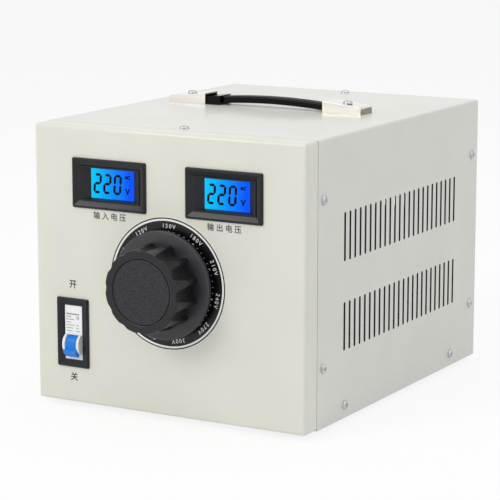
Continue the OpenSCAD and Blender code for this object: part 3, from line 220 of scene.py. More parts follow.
materials = {
    "powder_coat": powderCoat("powderCoatedSteel", "#DCDCD2", "#E2E2D8"),
    "coverCoat": powderCoat("powderCoatedCover", "#D9D9D2", "#DFDFD8"),
    # Dull charcoal on the inside of the sheets and the walls of the vent slots: painted shade for the dark inside
    # of the case
    "insideShade": moulded("darkPrimer", "#18191A", "#1E1F20", 0.8, grain=3.0, depth=0.01, Specular_IOR_Level=0.2),
    # Bright zinc with a clear blue passivation: cold grey with faint cloudy patches
    "zinc_steel": metalPlate("zincPlatedSteel", "#A9ABAF", "#C9CBCF", 0.26, grain=4.0),
    # Polished nickel plate: warm white mirror, softened by buffing along the cap
    "nickel": metalPlate("nickelPlatedSteel", "#DAD5CF", "#EDE9E4", 0.15, grain=9.0, stretch=(0.15, 1, 1)),
    # The same steel on the end faces, where it was sheared: a darker and duller warm grey, partly the dull cut
    # metal of the thin plate and partly painted shade on these faces
    "shearedEndAndShade": metalPlate("shearedPlatedSteel", "#8C847C", "#A29A92", 0.34, grain=3.0),
    # Soft PVC, injection moulded with a glossy finish
    "black_pvc": moulded("mouldedPvc", "#050506", "#08080A", 0.14, grain=1.5, depth=0.006, IOR=1.5,
                         Specular_IOR_Level=0.12),
    # Hardened strip and wire: dark straw-grey, rolled along its length
    "spring_steel": metalPlate("hardenedSpringSteel", "#8D8F94", "#A6A8AD", 0.3, stretch=(0.2, 1, 1)),
    # ABS off a satin mould: charcoal with a soft wide highlight
    "black_abs": moulded("mouldedAbs", "#1D1E22", "#232429", 0.3, grain=0.9, depth=0.006, IOR=1.5,
                         Specular_IOR_Level=0.26),
    # Glass-fibre board under green solder resist
    "green_board": moulded("solderResistBoard", "#0D4A23", "#14592C", 0.28, grain=2.0, IOR=1.5),
    # Thin aluminium dial, painted like the panel before the black disc is printed on it
    "dial_print": powderCoat("paintedDialPlate", "#F4F4F0", "#F8F8F5"),
    # Phenolic off a polished mould: near black with a soft skin
    "knob_phenolic": moulded("mouldedPhenolic", "#16161A", "#1D1D21", 0.28, grain=1.0, depth=0.008, IOR=1.55,
                             Specular_IOR_Level=0.32),
    # The same phenolic, drawn a shade lighter as painted sheen from the key light's broad reflection, with a broad
    # soft highlight
    "skirtPaintedSheen": moulded("buffedPhenolic", "#232328", "#2C2C31", 0.42, grain=1.0, depth=0.004, IOR=1.55),
    "knob_grain": leatherGrain("grainedPhenolic", "#0A0A0D", "#33333A"),
    # Urea thermoset: hard, clean white with a shallow gloss
    "white_thermoset": moulded("ureaThermoset", "#F0F1F4", "#F6F7F9", 0.3, grain=3.0, depth=0.004, IOR=1.54),
    # Nylon dyed through: strong blue, slightly waxy
    "blue_nylon": moulded("dyedNylon", "#067CE0", "#1086EA", 0.34, grain=1.5, depth=0.006, IOR=1.53,
                          Specular_IOR_Level=0.3),
    # Brass, turned on a lathe: yellow with fine tool rings
    "brass": metalPlate("turnedBrass", "#C79A45", "#DDB45E", 0.24, grain=2.0, stretch=(1, 0.2, 1)),
    "core_steel": stripWound("woundCoreSteel"),
    # Pressed insulating paper: buff, fibrous and matt
    "fish_paper": moulded("pressedPaper", "#A98A55", "#BC9C65", 0.8, grain=2.5, depth=0.03),
    # Copper wire under clear enamel: deep orange-brown with a varnish gloss
    "enamelled_copper": metalPlate("enamelledCopper", "#93451A", "#B35C28", 0.28, grain=2.0,
                                   Coat_Weight=0.6, Coat_Roughness=0.1),
    # The track where the enamel is ground off: bright pink metal with rubbed rings
    "bare_copper": metalPlate("groundCopper", "#D08A62", "#E6A57E", 0.3, grain=1.5),
    "steel_shaft": metalPlate("groundSteel", "#A9ACB1", "#C2C5CA", 0.2, stretch=(1, 0.1, 1)),
    # Aluminium from a die: pale, dull and slightly grained
    "cast_aluminium": metalPlate("dieCastAluminium", "#B3B6B9", "#C9CBCE", 0.45, grain=1.5, depth=0.03),
    "phenolic_brown": moulded("brownPhenolic", "#33190E", "#45241a", 0.35, grain=1.5, depth=0.02, IOR=1.55),
    # Pressed carbon: dead black with a graphite glint
    "carbon": moulded("pressedCarbon", "#141415", "#222224", 0.55, grain=0.7, depth=0.02),
    "rubber": moulded("mouldedRubber", "#161617", "#1E1E1F", 0.7, grain=1.0, depth=0.03),
    "black_nylon": moulded("mouldedNylon", "#18181A", "#202022", 0.42, grain=1.2, depth=0.01, IOR=1.53),
    "wire_brown": moulded("brownPvcWire", "#4A2A18", "#57331F", 0.35, grain=2.0, depth=0.01),
    "wire_yellow": moulded("yellowPvcWire", "#C99A12", "#DBAA1E", 0.35, grain=2.0, depth=0.01),
    "red_nylon": moulded("redNylon", "#A81318", "#BB1A1F", 0.3, grain=1.2, depth=0.008, IOR=1.53),
    "black_post": moulded("blackPostNylon", "#151516", "#1D1D1E", 0.3, grain=1.2, depth=0.008, IOR=1.53),
    "ivory_nylon": moulded("ivoryNylon", "#D6CFB8", "#DFD9C4", 0.4, grain=1.5, depth=0.008, IOR=1.53),
    "blackInk": ink("blackDialInk", "#0B0B0C", 0.3, Specular_IOR_Level=0.35),
    "whiteInk": ink("whiteDialInk", "#F0F0EE"),
    "labelInk": ink("greyLabelInk", "#1C1C20"),
    "markInk": ink("paleGreyInk", "#63666B"),
    "segmentBlack": ink("liquidCrystalBlack", "#020307", 0.5, Specular_IOR_Level=0.1),
}
backlight = {"leftColour": "#00CCFF", "rightColour": "#0056FF"}
for node in ("input_meter_screen", "output_meter_screen"):
    low, high, middle = box(node)
    materials[node] = litScreen("backlit" + node.split("_")[0].title() + "Screen", middle.x,
                                high.x - low.x - 8 * mm, **backlight)

for subpart in frame["record"]["subparts"]:
    node = subpart["node"]
    slots = frame["nodes"][node].data.materials
    slots.clear()
    slots.append(materials.get(node) or materials["coverCoat" if node in ("cover", "rear_panel")
                                                  else subpart["material_slot"]])
print("materials ready:", len(materials))


# Making and handing over pieces

def newPiece(name, verts, faces, material):
    mesh = bpy.data.meshes.new(name)
    mesh.from_pydata([tuple(v) for v in verts], [], faces)
    return dressPiece(name, mesh, material)


def gridFaces(rows, size, closed=True):
    # quads between rows of points, each row a loop; an open run of rows gets a face at each end
    pairs = [(k, (k + 1) % rows) for k in range(rows if closed else rows - 1)]
    faces = [[a * size + j, a * size + (j + 1) % size, b * size + (j + 1) % size, b * size + j]
             for a, b in pairs for j in range(size)]
    ends = [list(range(size)), [(rows - 1) * size + j for j in reversed(range(size))]]
    return faces if closed else faces + ends


def prismFaces(first, count):  # two equal outlines, one after the other, and the walls between them
    return [[first + k for k in range(count)], [first + count + k for k in reversed(range(count))]] + [
        [first + k, first + count + k, first + count + (k + 1) % count, first + (k + 1) % count]
        for k in range(count)]


def dressPiece(name, mesh, material):
    work = bmesh.new()
    work.from_mesh(mesh)
    bmesh.ops.remove_doubles(work, verts=work.verts, dist=0.001 * mm)
    bmesh.ops.recalc_face_normals(work, faces=work.faces)
    work.to_mesh(mesh)
    work.free()
    mesh.materials.clear()
    mesh.materials.append(material)
    for polygon in mesh.polygons:
        polygon.use_smooth = True
    mesh.set_sharp_from_angle(angle=math.radians(35))
    piece = bpy.data.objects.new(name, mesh)
    scene.collection.objects.link(piece)
    return piece


def plain(piece):  # turns what the modifiers make into a plain mesh
    bpy.context.view_layer.update()
    mesh = bpy.data.meshes.new_from_object(piece.evaluated_get(bpy.context.evaluated_depsgraph_get()))
    piece.modifiers.clear()
    mesh.name = piece.name
    piece.data = mesh
    return piece


def softEdges(piece, width, segments=2, angle=30):
    bevel = piece.modifiers.new("softEdges", "BEVEL")
    bevel.width, bevel.segments = width * mm, segments
    bevel.limit_method, bevel.angle_limit = "ANGLE", math.radians(angle)
    bevel.use_clamp_overlap, bevel.harden_normals = True, True
    return plain(piece)


def handOver(piece, body, slot, *nodes):
    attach(piece, body)
    if nodes:
        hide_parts(*nodes)
    return piece


def hollowOut(piece, cutter):
    cut = piece.modifiers.new("recess", "BOOLEAN")
    cut.object, cut.operation, cut.solver = cutter, "DIFFERENCE", "EXACT"
    plain(piece)
    discard(cutter)
    return piece


def eased(node, body, slot, width, segments=2, angle=30, cutter=None):
    # a copy of the CAD shape with its hard edges rounded, as bending, moulding or turning leaves them
    work = bmesh.new()
    work.from_mesh(frame["nodes"][node].data)
    bmesh.ops.remove_doubles(work, verts=work.verts, dist=0.002 * mm)
    bmesh.ops.dissolve_limit(work, angle_limit=math.radians(0.5), verts=work.verts, edges=work.edges)
    mesh = bpy.data.meshes.new(node + "Eased")
    work.to_mesh(mesh)
    work.free()
    piece = dressPiece(node + "Eased", mesh, frame["nodes"][node].data.materials[0])
    if cutter:
        hollowOut(piece, cutter)
    return handOver(softEdges(piece, width, segments, angle), body, slot, node)


def lathe(name, profile, centre, material, segments=128):
    # profile goes from the axis at the front, over the outside, to the axis at the back, as (radius, y) in mm
    verts, rings, faces = [], [], []
    for radius, y in profile:
        count = 1 if radius == 0 else segments
        rings.append([len(verts) + k for k in range(count)])
        for k in range(count):
            turn = 2 * math.pi * k / segments
            verts.append(Vector((centre.x + radius * mm * math.sin(turn), centre.y + y * mm,
                                 centre.z + radius * mm * math.cos(turn))))
    for ringA, ringB in zip(rings, rings[1:]):
        for k in range(segments):
            corners = [ringA[k % len(ringA)], ringA[(k + 1) % len(ringA)],
                       ringB[(k + 1) % len(ringB)], ringB[k % len(ringB)]]
            corners = list(dict.fromkeys(corners))
            if len(corners) > 2:
                faces.append(corners)
    return newPiece(name, verts, faces, material)


def frameLoft(name, loops, middleX, middleZ, material):
    # a closed ring of bands between rectangles (width, height, y, corner radius in mm)
    verts, steps = [], 5
    for width, height, y, corner in loops:
        for sx, sz, first in ((1, 1, 0), (-1, 1, 90), (-1, -1, 180), (1, -1, 270)):
            for k in range(steps):
                turn = math.radians(first + 90 * k / (steps - 1))
                verts.append((middleX + (sx * (width / 2 - corner) + corner * math.cos(turn)) * mm,
                              panelFront + y * mm,
                              middleZ + (sz * (height / 2 - corner) + corner * math.sin(turn)) * mm))
    return newPiece(name, verts, gridFaces(len(loops), 4 * steps), material)


def grow(name, source, buildTree, sizes):
    # runs a geometry-nodes tree over source and returns the plain result
    tree = bpy.data.node_groups.new(name, "GeometryNodeTree")
    tree.interface.new_socket("Geometry", in_out="INPUT", socket_type="NodeSocketGeometry")
    for label, value in sizes.items():
        kind = {int: "NodeSocketInt", float: "NodeSocketFloat"}.get(type(value), "NodeSocketVector")
        if isinstance(value, bpy.types.Object):
            kind = "NodeSocketObject"
        if isinstance(value, bpy.types.Material):
            kind = "NodeSocketMaterial"
        tree.interface.new_socket(label, in_out="INPUT", socket_type=kind)
    tree.interface.new_socket("Geometry", in_out="OUTPUT", socket_type="NodeSocketGeometry")
    entry, leave = put(tree, "NodeGroupInput"), put(tree, "NodeGroupOutput")
    grown = put(tree, "GeometryNodeRealizeInstances", {"Geometry": buildTree(tree, entry)})
    coloured = put(tree, "GeometryNodeSetMaterial", {"Geometry": grown.outputs[0],
                                                     "Material": entry.outputs["Material"]})
    tree.links.new(coloured.outputs[0], leave.inputs[0])
    modifier = source.modifiers.new(name, "NODES")
    modifier.node_group = tree
    for item in tree.interface.items_tree:
        if item.in_out == "INPUT" and item.name in sizes:
            modifier[item.identifier] = sizes[item.name]
    return plain(source)


def pointCloud(name, points, **attributes):  # bare points that carry vectors or numbers for a tree to read
    mesh = bpy.data.meshes.new(name)
    mesh.from_pydata([tuple(p) for p in points], [], [])
    for label, values in attributes.items():
        vector = not isinstance(values[0], (int, float))
        attribute = mesh.attributes.new(label, "FLOAT_VECTOR" if vector else "FLOAT", "POINT")
        attribute.data.foreach_set("vector" if vector else "value",
                                   [c for v in values for c in v] if vector else values)
    piece = bpy.data.objects.new(name, mesh)
    scene.collection.objects.link(piece)
    return piece


def discard(*objects):
    for thing in objects:
        bpy.data.objects.remove(thing)


def islands(node):  # boxes of a node's separate solids
    work = bmesh.new()
    work.from_mesh(frame["nodes"][node].data)
    bmesh.ops.remove_doubles(work, verts=work.verts, dist=0.002 * mm)
    left, found = set(work.verts), []
    while left:
        stack, seen = [left.pop()], []
        while stack:
            vert = stack.pop()
            seen.append(vert.co.copy())
            for edge in vert.link_edges:
                other = edge.other_vert(vert)
                if other in left:
                    left.discard(other)
                    stack.append(other)
        found.append((Vector([min(c[i] for c in seen) for i in range(3)]),
                      Vector([max(c[i] for c in seen) for i in range(3)])))
    work.free()
    return sorted(found, key=lambda pair: tuple(round(c, 5) for c in pair[0]))


# Screws: one Phillips pan head, set wherever the CAD has a screw that shows

screw = {"radius": 4.2, "height": 2.4, "slotWidth": 1.1, "slotReach": 2.3, "slotDepth": 1.6, "seed": 7}


def phillipsHead():
    sides = 40
    dome = [(0.0, 1.0), (0.3, 0.985), (0.55, 0.93), (0.75, 0.82), (0.9, 0.64), (0.975, 0.42), (1.0, 0.2),
            (1.0, 0.0)]
    verts, rings, faces = [], [], []
    for reach, rise in dome:
        count = 1 if reach == 0 else sides
        rings.append([len(verts) + k for k in range(count)])
        verts += [(reach * screw["radius"] * mm * math.cos(2 * math.pi * k / sides),
                   reach * screw["radius"] * mm * math.sin(2 * math.pi * k / sides),
                   rise * screw["height"] * mm) for k in range(count)]
    for a, b in zip(rings, rings[1:]):
        for k in range(sides):
            corners = [a[k % len(a)], b[k % len(b)], b[(k + 1) % len(b)], a[(k + 1) % len(a)]]
            faces.append(list(dict.fromkeys(corners)))
    faces.append(rings[-1][::-1])
    head = newPiece("phillipsHead", verts, faces, materials["zinc_steel"])
    w, r = screw["slotWidth"] / 2 * mm, screw["slotReach"] * mm
    top, floor = (screw["height"] + 1) * mm, (screw["height"] - screw["slotDepth"]) * mm
    outline = [(w, w), (w, r), (-w, r), (-w, w), (-r, w), (-r, -w),
               (-w, -w), (-w, -r), (w, -r), (w, -w), (r, -w), (r, w)]
    cutter = newPiece("phillipsCutter", [(x, y, top) for x, y in outline] +
                      [(x * 0.45, y * 0.45, floor) for x, y in outline], prismFaces(0, 12),
                      materials["zinc_steel"])
    hollowOut(head, cutter)
    for polygon in head.data.polygons:
        polygon.use_smooth = True
    head.data.set_sharp_from_angle(angle=math.radians(32))
    return head


def setScrews(name, head, places, outwards, scale):
    def tree(tree, entry):
        facing = put(tree, "GeometryNodeInputNamedAttribute", {"Name": "outward"}, data_type="FLOAT_VECTOR")
        turned = put(tree, "FunctionNodeAlignRotationToVector", {"Vector": facing.outputs["Attribute"]},
                     axis="Z")
        spin = put(tree, "FunctionNodeRandomValue", {2: 0.0, 3: 2 * math.pi, "Seed": entry.outputs["Seed"]},
                   data_type="FLOAT")
        own = put(tree, "ShaderNodeCombineXYZ", {"Z": spin.outputs[1]})
        aimed = put(tree, "FunctionNodeRotateRotation", {"Rotation": turned.outputs[0],
                                                         "Rotate By": own.outputs[0]}, rotation_space="LOCAL")
        shape = put(tree, "GeometryNodeObjectInfo", {"Object": entry.outputs["Head"]})
        return put(tree, "GeometryNodeInstanceOnPoints", {
            "Points": entry.outputs["Geometry"], "Instance": shape.outputs["Geometry"],
            "Rotation": aimed.outputs[0], "Scale": entry.outputs["Scale"]}).outputs[0]

    cloud = pointCloud(name, places, outward=outwards)
    return grow(name, cloud, tree, {"Head": head, "Seed": screw["seed"], "Scale": (scale, scale, scale),
                                    "Material": materials["zinc_steel"]})


head = phillipsHead()
places, outwards = [], []
for low, high in islands("cover_screws"):
    middle = (low + high) / 2
    if middle.z > caseHigh.z - 5 * mm:
        places.append((middle.x, middle.y, caseHigh.z))
        outwards.append((0.0, 0.0, 1.0))
    else:
        side = math.copysign(1.0, middle.x)
        places.append((side * caseHigh.x, middle.y, middle.z))
        outwards.append((side, 0.0, 0.0))
handOver(setScrews("coverScrewHeads", head, places, outwards, 1.0), "case", "zinc_steel", "cover_screws")
places, outwards = [], []
for low, high in islands("handle_screws"):
    middle = (low + high) / 2
    places.append((middle.x, middle.y, high.z - screw["height"] * mm))
    outwards.append((0.0, 0.0, 1.0))
handOver(setScrews("handleScrewHeads", head, places, outwards, 1.05), "case", "zinc_steel", "handle_screws")
discard(head)
print("screws set")


# Case: folded sheets with their edges eased

easing = {"front_panel": 0.35, "cover": 0.3, "rear_panel": 0.3, "base_tray": 0.25}
for node, width in easing.items():
    sheet = eased(node, "case", "zinc_steel" if node == "base_tray" else "powder_coat", width)
    low, high, middle = box(node)
    if node == "cover":  # paint only the outside: slot walls, slot edges and inner faces get the dull charcoal, painted shade so the vents read dark
        sheet.data.materials.append(materials["insideShade"])
        margin = 5 * mm
        for polygon in sheet.data.polygons:
            spot, facing = polygon.center, polygon.normal
            outwards = facing.x * math.copysign(1, spot.x), facing.z
            atEdge = not low.y + margin < spot.y < high.y - margin or spot.z < low.z + margin
            onBend = spot.z > high.z - margin and min(outwards) > 0.02
            onSkin = max(outwards) > 0.97 and max(abs(spot.x) - high.x, spot.z - high.z) > -0.1 * mm
            # index 1 is the dull charcoal: painted shade inside the case
            polygon.material_index = 0 if atEdge or onBend or onSkin else 1
eased("rubber_feet", "case", "rubber", 0.6, 3)
print("case sheets done")


# Meters: mitred bezels with a funnel down to the lit glass

bezel = {"screenWidth": 43.4, "screenHeight": 26, "screenDepth": 5.0, "wall": 1.6, "ease": 0.18,
         "lipWidthLess": 17.6, "lipHeightLess": 16.2, "bodyWidthLess": 5, "bodyHeightLess": 4}
bezelSteps = [(0.0, 0.0, 1.5), (0.0, -1.2, 1.5), (0.8, -2.3, 1.2), (1.6, -2.5, 0.9), (2.2, -2.5, 0.7),
              (6.5, -0.3, 0.3), (6.8, -1.0, 0.3), (7.9, -1.0, 0.3)]  # inset, y and corner of each rim edge
digit = {"left": (1.9, 11.8, 22.2), "width": 8.1, "top": 4.3, "height": 17.6, "stroke": 2.3, "lean": 0.07,
         "gap": 0.16, "lift": 0.06}
unit = {"left": 36.9, "lift": 0.03, "weight": 0.3, "words": (("AC", 3.8, 6.2), ("V", 7.0, 18.6))}
segmentsOf = {"2": "abged", "0": "abcdef"}


def segmentBars(character, left, top):
    w, h, t, g = digit["width"], digit["height"], digit["stroke"], digit["gap"]
    levels = {"a": 0, "g": h / 2, "d": h}
    for key in segmentsOf[character]:
        if key in levels:
            y = min(max(levels[key], t / 2), h - t / 2)
            x0, x1 = t / 2 + g, w - t / 2 - g
            bar = [(x0, y), (x0 + t / 2, y - t / 2), (x1 - t / 2, y - t / 2), (x1, y),
                   (x1 - t / 2, y + t / 2), (x0 + t / 2, y + t / 2)]
        else:
            x = t / 2 if key in "fe" else w - t / 2
            y0, y1 = ((t / 2 + g, h / 2 - g) if key in "fb" else (h / 2 + g, h - t / 2 - g))
            bar = [(x, y0), (x + t / 2, y0 + t / 2), (x + t / 2, y1 - t / 2), (x, y1),
                   (x - t / 2, y1 - t / 2), (x - t / 2, y0 + t / 2)]
        yield [(left + px + (h - py) * digit["lean"], top + py) for px, py in bar]


def prisms(name, outlines, place, front, back, material):
    # outlines in mm, x to the right and y down, pushed from front to back along y
    verts, faces = [], []
    for outline in outlines:
        faces += prismFaces(len(verts), len(outline))
        for depth in (front, back):
            verts += [(place.x + x * mm, depth, place.z - y * mm) for x, y in outline]
    return newPiece(name, verts, faces, material)


def lettering(name, lines, material, spacing=1.0, thickness=0.04):
    # lines: (text, size in mm, middle, turn in degrees, weight) drawn on a plane that faces the front
    meshes = []
    for text, size, middle, turn, weight in lines:
        curve = bpy.data.curves.new(name, "FONT")
        curve.body, curve.size, curve.align_x, curve.align_y = text, size * mm, "CENTER", "CENTER"
        curve.extrude, curve.offset, curve.resolution_u = thickness / 2 * mm, weight * mm, 4
        curve.space_character = spacing
        holder = bpy.data.objects.new(name, curve)
        scene.collection.objects.link(holder)
        shape = bpy.data.meshes.new_from_object(holder.evaluated_get(bpy.context.evaluated_depsgraph_get()))
        shape.transform(Matrix.Translation(middle) @ Matrix.Rotation(math.radians(turn), 4, "Y") @
                        Matrix.Rotation(math.pi / 2, 4, "X"))
        meshes.append(shape)
        discard(holder)
    work = bmesh.new()
    for mesh in meshes:
        work.from_mesh(mesh)
        bpy.data.meshes.remove(mesh)
    joined = bpy.data.meshes.new(name)
    work.to_mesh(joined)
    work.free()
    return dressPiece(name, joined, material)


reading = "220"
for side in ("input", "output"):
    low, high, middle = box(side + "_meter_bezel")
    width, height = (high.x - low.x) / mm, (high.z - low.z) / mm
    deep, wall = (high.y - panelFront) / mm, bezel["wall"]
    screen = bezel["screenWidth"], bezel["screenHeight"]
    body = width - bezel["bodyWidthLess"], height - bezel["bodyHeightLess"]
    inner = [(width - bezel["lipWidthLess"], height - bezel["lipHeightLess"], -0.6, 0.2),
             (*screen, bezel["screenDepth"] - 0.02, 0.2)]
    hollow = [(body[0] - 2 * wall, body[1] - 2 * wall, bezel["screenDepth"] + 0.4, 0.3),
              (body[0] - 2 * wall, body[1] - 2 * wall, deep, 0.3), (*body, deep, 0.5), (*body, 0, 0.5)]
    loops = [(width - 2 * inset, height - 2 * inset, y, corner) for inset, y, corner in bezelSteps]
    loops += inner + hollow
    surround = frameLoft(side + "MeterBezel", loops, middle.x, middle.z, materials["black_abs"])
    handOver(softEdges(surround, bezel["ease"], 2, 20), "case", "black_abs", side + "_meter_bezel")
    glass = box(side + "_meter_screen")[0]
    corner = Vector((middle.x - screen[0] / 2 * mm, 0, middle.z + screen[1] / 2 * mm))
    outlines = [bar for character, left in zip(reading, digit["left"])
                for bar in segmentBars(character, left, digit["top"])]
    figures = prisms(side + "MeterDigits", outlines, corner, glass.y - digit["lift"] * mm, glass.y,
                     materials["segmentBlack"])
    handOver(figures, "case", "lcd_blue")
    units = [(text, size, corner + Vector((unit["left"] * mm, glass.y - unit["lift"] * mm, -down * mm)),
              0, unit["weight"]) for text, size, down in unit["words"]]
    handOver(lettering(side + "MeterUnits", units, materials["segmentBlack"]), "case", "lcd_blue")
print("meters done")


# Front panel lettering: plain words for what each meter and switch position is

label = {"size": 6.9, "below": 5.9, "weight": 0.08, "switchSize": 7.9, "switchWeight": 0.13,
         "offBelow": 9.3, "onAbove": 11.8, "lift": 0.03}
printed = panelFront - label["lift"] * mm
words = []
for side, text in (("input", "输 入 电 压"), ("output", "输 出 电 压")):
    low, high, middle = box(side + "_meter_bezel")
    words.append((text, label["size"], Vector((middle.x, printed, low.z - label["below"] * mm)), 0,
                  label["weight"]))
low, high, middle = box("breaker_frame")
for text, level in (("开", high.z + label["onAbove"] * mm), ("关", low.z - label["offBelow"] * mm)):
    words.append((text, label["switchSize"], Vector((middle.x, printed, level)), 0, label["switchWeight"]))
handOver(lettering("panelWords", words, materials["labelInk"]), "case", "powder_coat")
print("panel lettering done")


# Dial: black printed disc, thin outer line, numbers and dots

dial = {"disc": 54.1, "hole": 6.2, "lineInner": 55.8, "lineOuter": 56.9, "firstAngle": -162.7,
        "stepAngle": 33.0, "steps": 10, "voltsPerStep": 30, "numberRadius": 49.6, "numberSize": 5.1,
        "numberWeight": 0.03, "numberSpacing": 1.34, "numberLift": 0.02, "dotRadius": 44.9, "smallDot": 0.42,
        "largeDot": 0.75, "dotsPerStep": 5, "raise": 0.05}
plate = box("dial_plate")[0].y


def onDial(angle, radius, y):
    turn = math.radians(angle)
    return Vector((dialMiddle.x + radius * mm * math.sin(turn), y,
                   dialMiddle.z + radius * mm * math.cos(turn)))


def ring(name, inner, outer, front, material):
    back, sides = front + dial["raise"] * mm, 160
    verts = [onDial(360 * k / sides, radius, y)
             for radius, y in ((inner, front), (outer, front), (outer, back), (inner, back))
             for k in range(sides)]
    return newPiece(name, verts, gridFaces(4, sides), material)


face = plate - dial["raise"] * mm
for name, inner, outer in (("dialDisc", dial["hole"], dial["disc"]),
                           ("dialOuterLine", dial["lineInner"], dial["lineOuter"])):
    handOver(ring(name, inner, outer, face, materials["blackInk"]), "case", "dial_print")

numbers = []
for step in range(dial["steps"] + 1):
    angle = dial["firstAngle"] + step * dial["stepAngle"]
    numbers.append(("%dV" % (step * dial["voltsPerStep"]), dial["numberSize"],
                    onDial(angle, dial["numberRadius"], face - dial["numberLift"] * mm), angle,
                    dial["numberWeight"]))
handOver(lettering("dialNumbers", numbers, materials["whiteInk"], dial["numberSpacing"]),
         "case", "dial_print")


def dotTree(tree, entry):
    size = put(tree, "GeometryNodeInputNamedAttribute", {"Name": "dotSize"}, data_type="FLOAT")
    disc = put(tree, "GeometryNodeMeshCylinder", {"Vertices": 12, "Radius": 1.0,
                                                  "Depth": entry.outputs["Thickness"]})
    facing = put(tree, "FunctionNodeEulerToRotation", {0: (math.pi / 2, 0.0, 0.0)})
    spread = put(tree, "ShaderNodeCombineXYZ", {"X": size.outputs[0], "Y": size.outputs[0], "Z": 1.0})
    return put(tree, "GeometryNodeInstanceOnPoints", {
        "Points": entry.outputs["Geometry"], "Instance": disc.outputs["Mesh"],
        "Rotation": facing.outputs[0], "Scale": spread.outputs[0]}).outputs[0]


spots, sizes = [], []
for k in range(dial["steps"] * dial["dotsPerStep"] + 1):
    angle = dial["firstAngle"] + k * dial["stepAngle"] / dial["dotsPerStep"]
    spots.append(onDial(angle, dial["dotRadius"], face))
    sizes.append((dial["largeDot"] if k % dial["dotsPerStep"] == 0 else dial["smallDot"]) * mm)
dots = grow("dialDots", pointCloud("dialDots", spots, dotSize=sizes), dotTree,
            {"Thickness": 0.06 * mm, "Material": materials["whiteInk"]})
handOver(dots, "case", "dial_print")
print("dial done")


# Knob: fluted body, grained inlay, skirt and a white line on the flank

knob = {"faceRadius": 35.8, "baseRadius": 37.4, "flutes": 12, "fluteRadius": 9.0, "frontDepth": 1.5,
        "backDepth": 3.9, "ridgeEase": 0.35, "edge": 1.1, "recess": 28.3, "recessDepth": 2.0,
        "restAngle": -29.0}
knobLow, knobHigh = box("knob")[:2]
length = (knobHigh.y - knobLow.y) / mm


def fluteTree(tree, entry):
    # each point moves in to the flute that passes over it, with the ridge between flutes rounded off
    def sums(operation, *values):
        return maths(tree, operation, *values)

    size = entry.outputs
    spot = put(tree, "GeometryNodeInputPosition").outputs[0]
    offset = put(tree, "ShaderNodeVectorMath", {0: spot, 1: size["Face Middle"]},
                 operation="SUBTRACT").outputs[0]
    part = put(tree, "ShaderNodeSeparateXYZ", {0: offset}).outputs
    radius = sums("SQRT", sums("MULTIPLY_ADD", part["X"], part["X"], sums("MULTIPLY", part["Z"], part["Z"])))
    pitch = sums("DIVIDE", 2 * math.pi, size["Flutes"])
    angle = sums("SUBTRACT", sums("ARCTAN2", part["X"], part["Z"]), size["Turn"])
    phase = sums("WRAP", angle, sums("MULTIPLY", pitch, 0.5), sums("MULTIPLY", pitch, -0.5))
    along = sums("DIVIDE", part["Y"], size["Length"])
    deeper = sums("SUBTRACT", size["Back Depth"], size["Front Depth"])
    depth = sums("MULTIPLY_ADD", along, deeper, size["Front Depth"])
    centre = sums("SUBTRACT", sums("ADD", size["Face Radius"], size["Flute Radius"]), depth)
    across = sums("MULTIPLY", centre, sums("SINE", phase))
    reach = sums("SUBTRACT", sums("MULTIPLY", size["Flute Radius"], size["Flute Radius"]),
                 sums("MULTIPLY", across, across))
    inside = sums("GREATER_THAN", reach, 0.0)
    wall = sums("SUBTRACT", sums("MULTIPLY", centre, sums("COSINE", phase)),
                sums("SQRT", sums("MAXIMUM", reach, 0.0)))
    wall = sums("ADD", wall, sums("MULTIPLY", sums("SUBTRACT", 1.0, inside), 0.05))
    eased = sums("SMOOTH_MIN", radius, wall, size["Ridge Ease"])
    share = sums("DIVIDE", eased, sums("MAXIMUM", radius, 0.0001))
    scaled = put(tree, "ShaderNodeCombineXYZ", {"X": sums("MULTIPLY", part["X"], share), "Y": part["Y"],
                                                "Z": sums("MULTIPLY", part["Z"], share)}).outputs[0]
    moved = put(tree, "ShaderNodeVectorMath", {0: scaled, 1: size["Face Middle"]}, operation="ADD").outputs[0]
    return put(tree, "GeometryNodeSetPosition", {"Geometry": size["Geometry"], "Position": moved}).outputs[0]


stations = 26
crown, edge = knob["faceRadius"], knob["edge"]
profile = [(0, knob["recessDepth"]), (knob["recess"], knob["recessDepth"]), (knob["recess"], 0.25),
           (knob["recess"] + 0.25, 0.0), (knob["recess"] + 2.0, 0.0), (crown - edge - 1.0, 0.0)]
for k in range(7):
    bend = math.pi / 2 * k / 6
    profile.append((crown - edge * (1 - math.sin(bend)), edge * (1 - math.cos(bend))))
for k in range(1, stations + 1):
    share = k / stations
    profile.append((crown + (knob["baseRadius"] - crown) * share, edge + (length - edge) * share))
profile += [(knob["baseRadius"] - 4.0, length), (0, length)]
faceMiddle = Vector((dialMiddle.x, knobLow.y, dialMiddle.z))
blank = lathe("knobBody", profile, faceMiddle, materials["knob_phenolic"], 360)
sizes = {"Face Middle": tuple(faceMiddle), "Length": length * mm, "Flutes": knob["flutes"],
         "Turn": math.radians(knob["restAngle"]), "Face Radius": knob["faceRadius"] * mm,
         "Flute Radius": knob["fluteRadius"] * mm, "Front Depth": knob["frontDepth"] * mm,
         "Back Depth": knob["backDepth"] * mm, "Ridge Ease": knob["ridgeEase"] * mm,
         "Material": materials["knob_phenolic"]}
fluted = grow("knobBody", blank, fluteTree, sizes)
fluted.data.set_sharp_from_angle(angle=math.radians(50))
handOver(fluted, "rotor", "knob_phenolic", "knob")

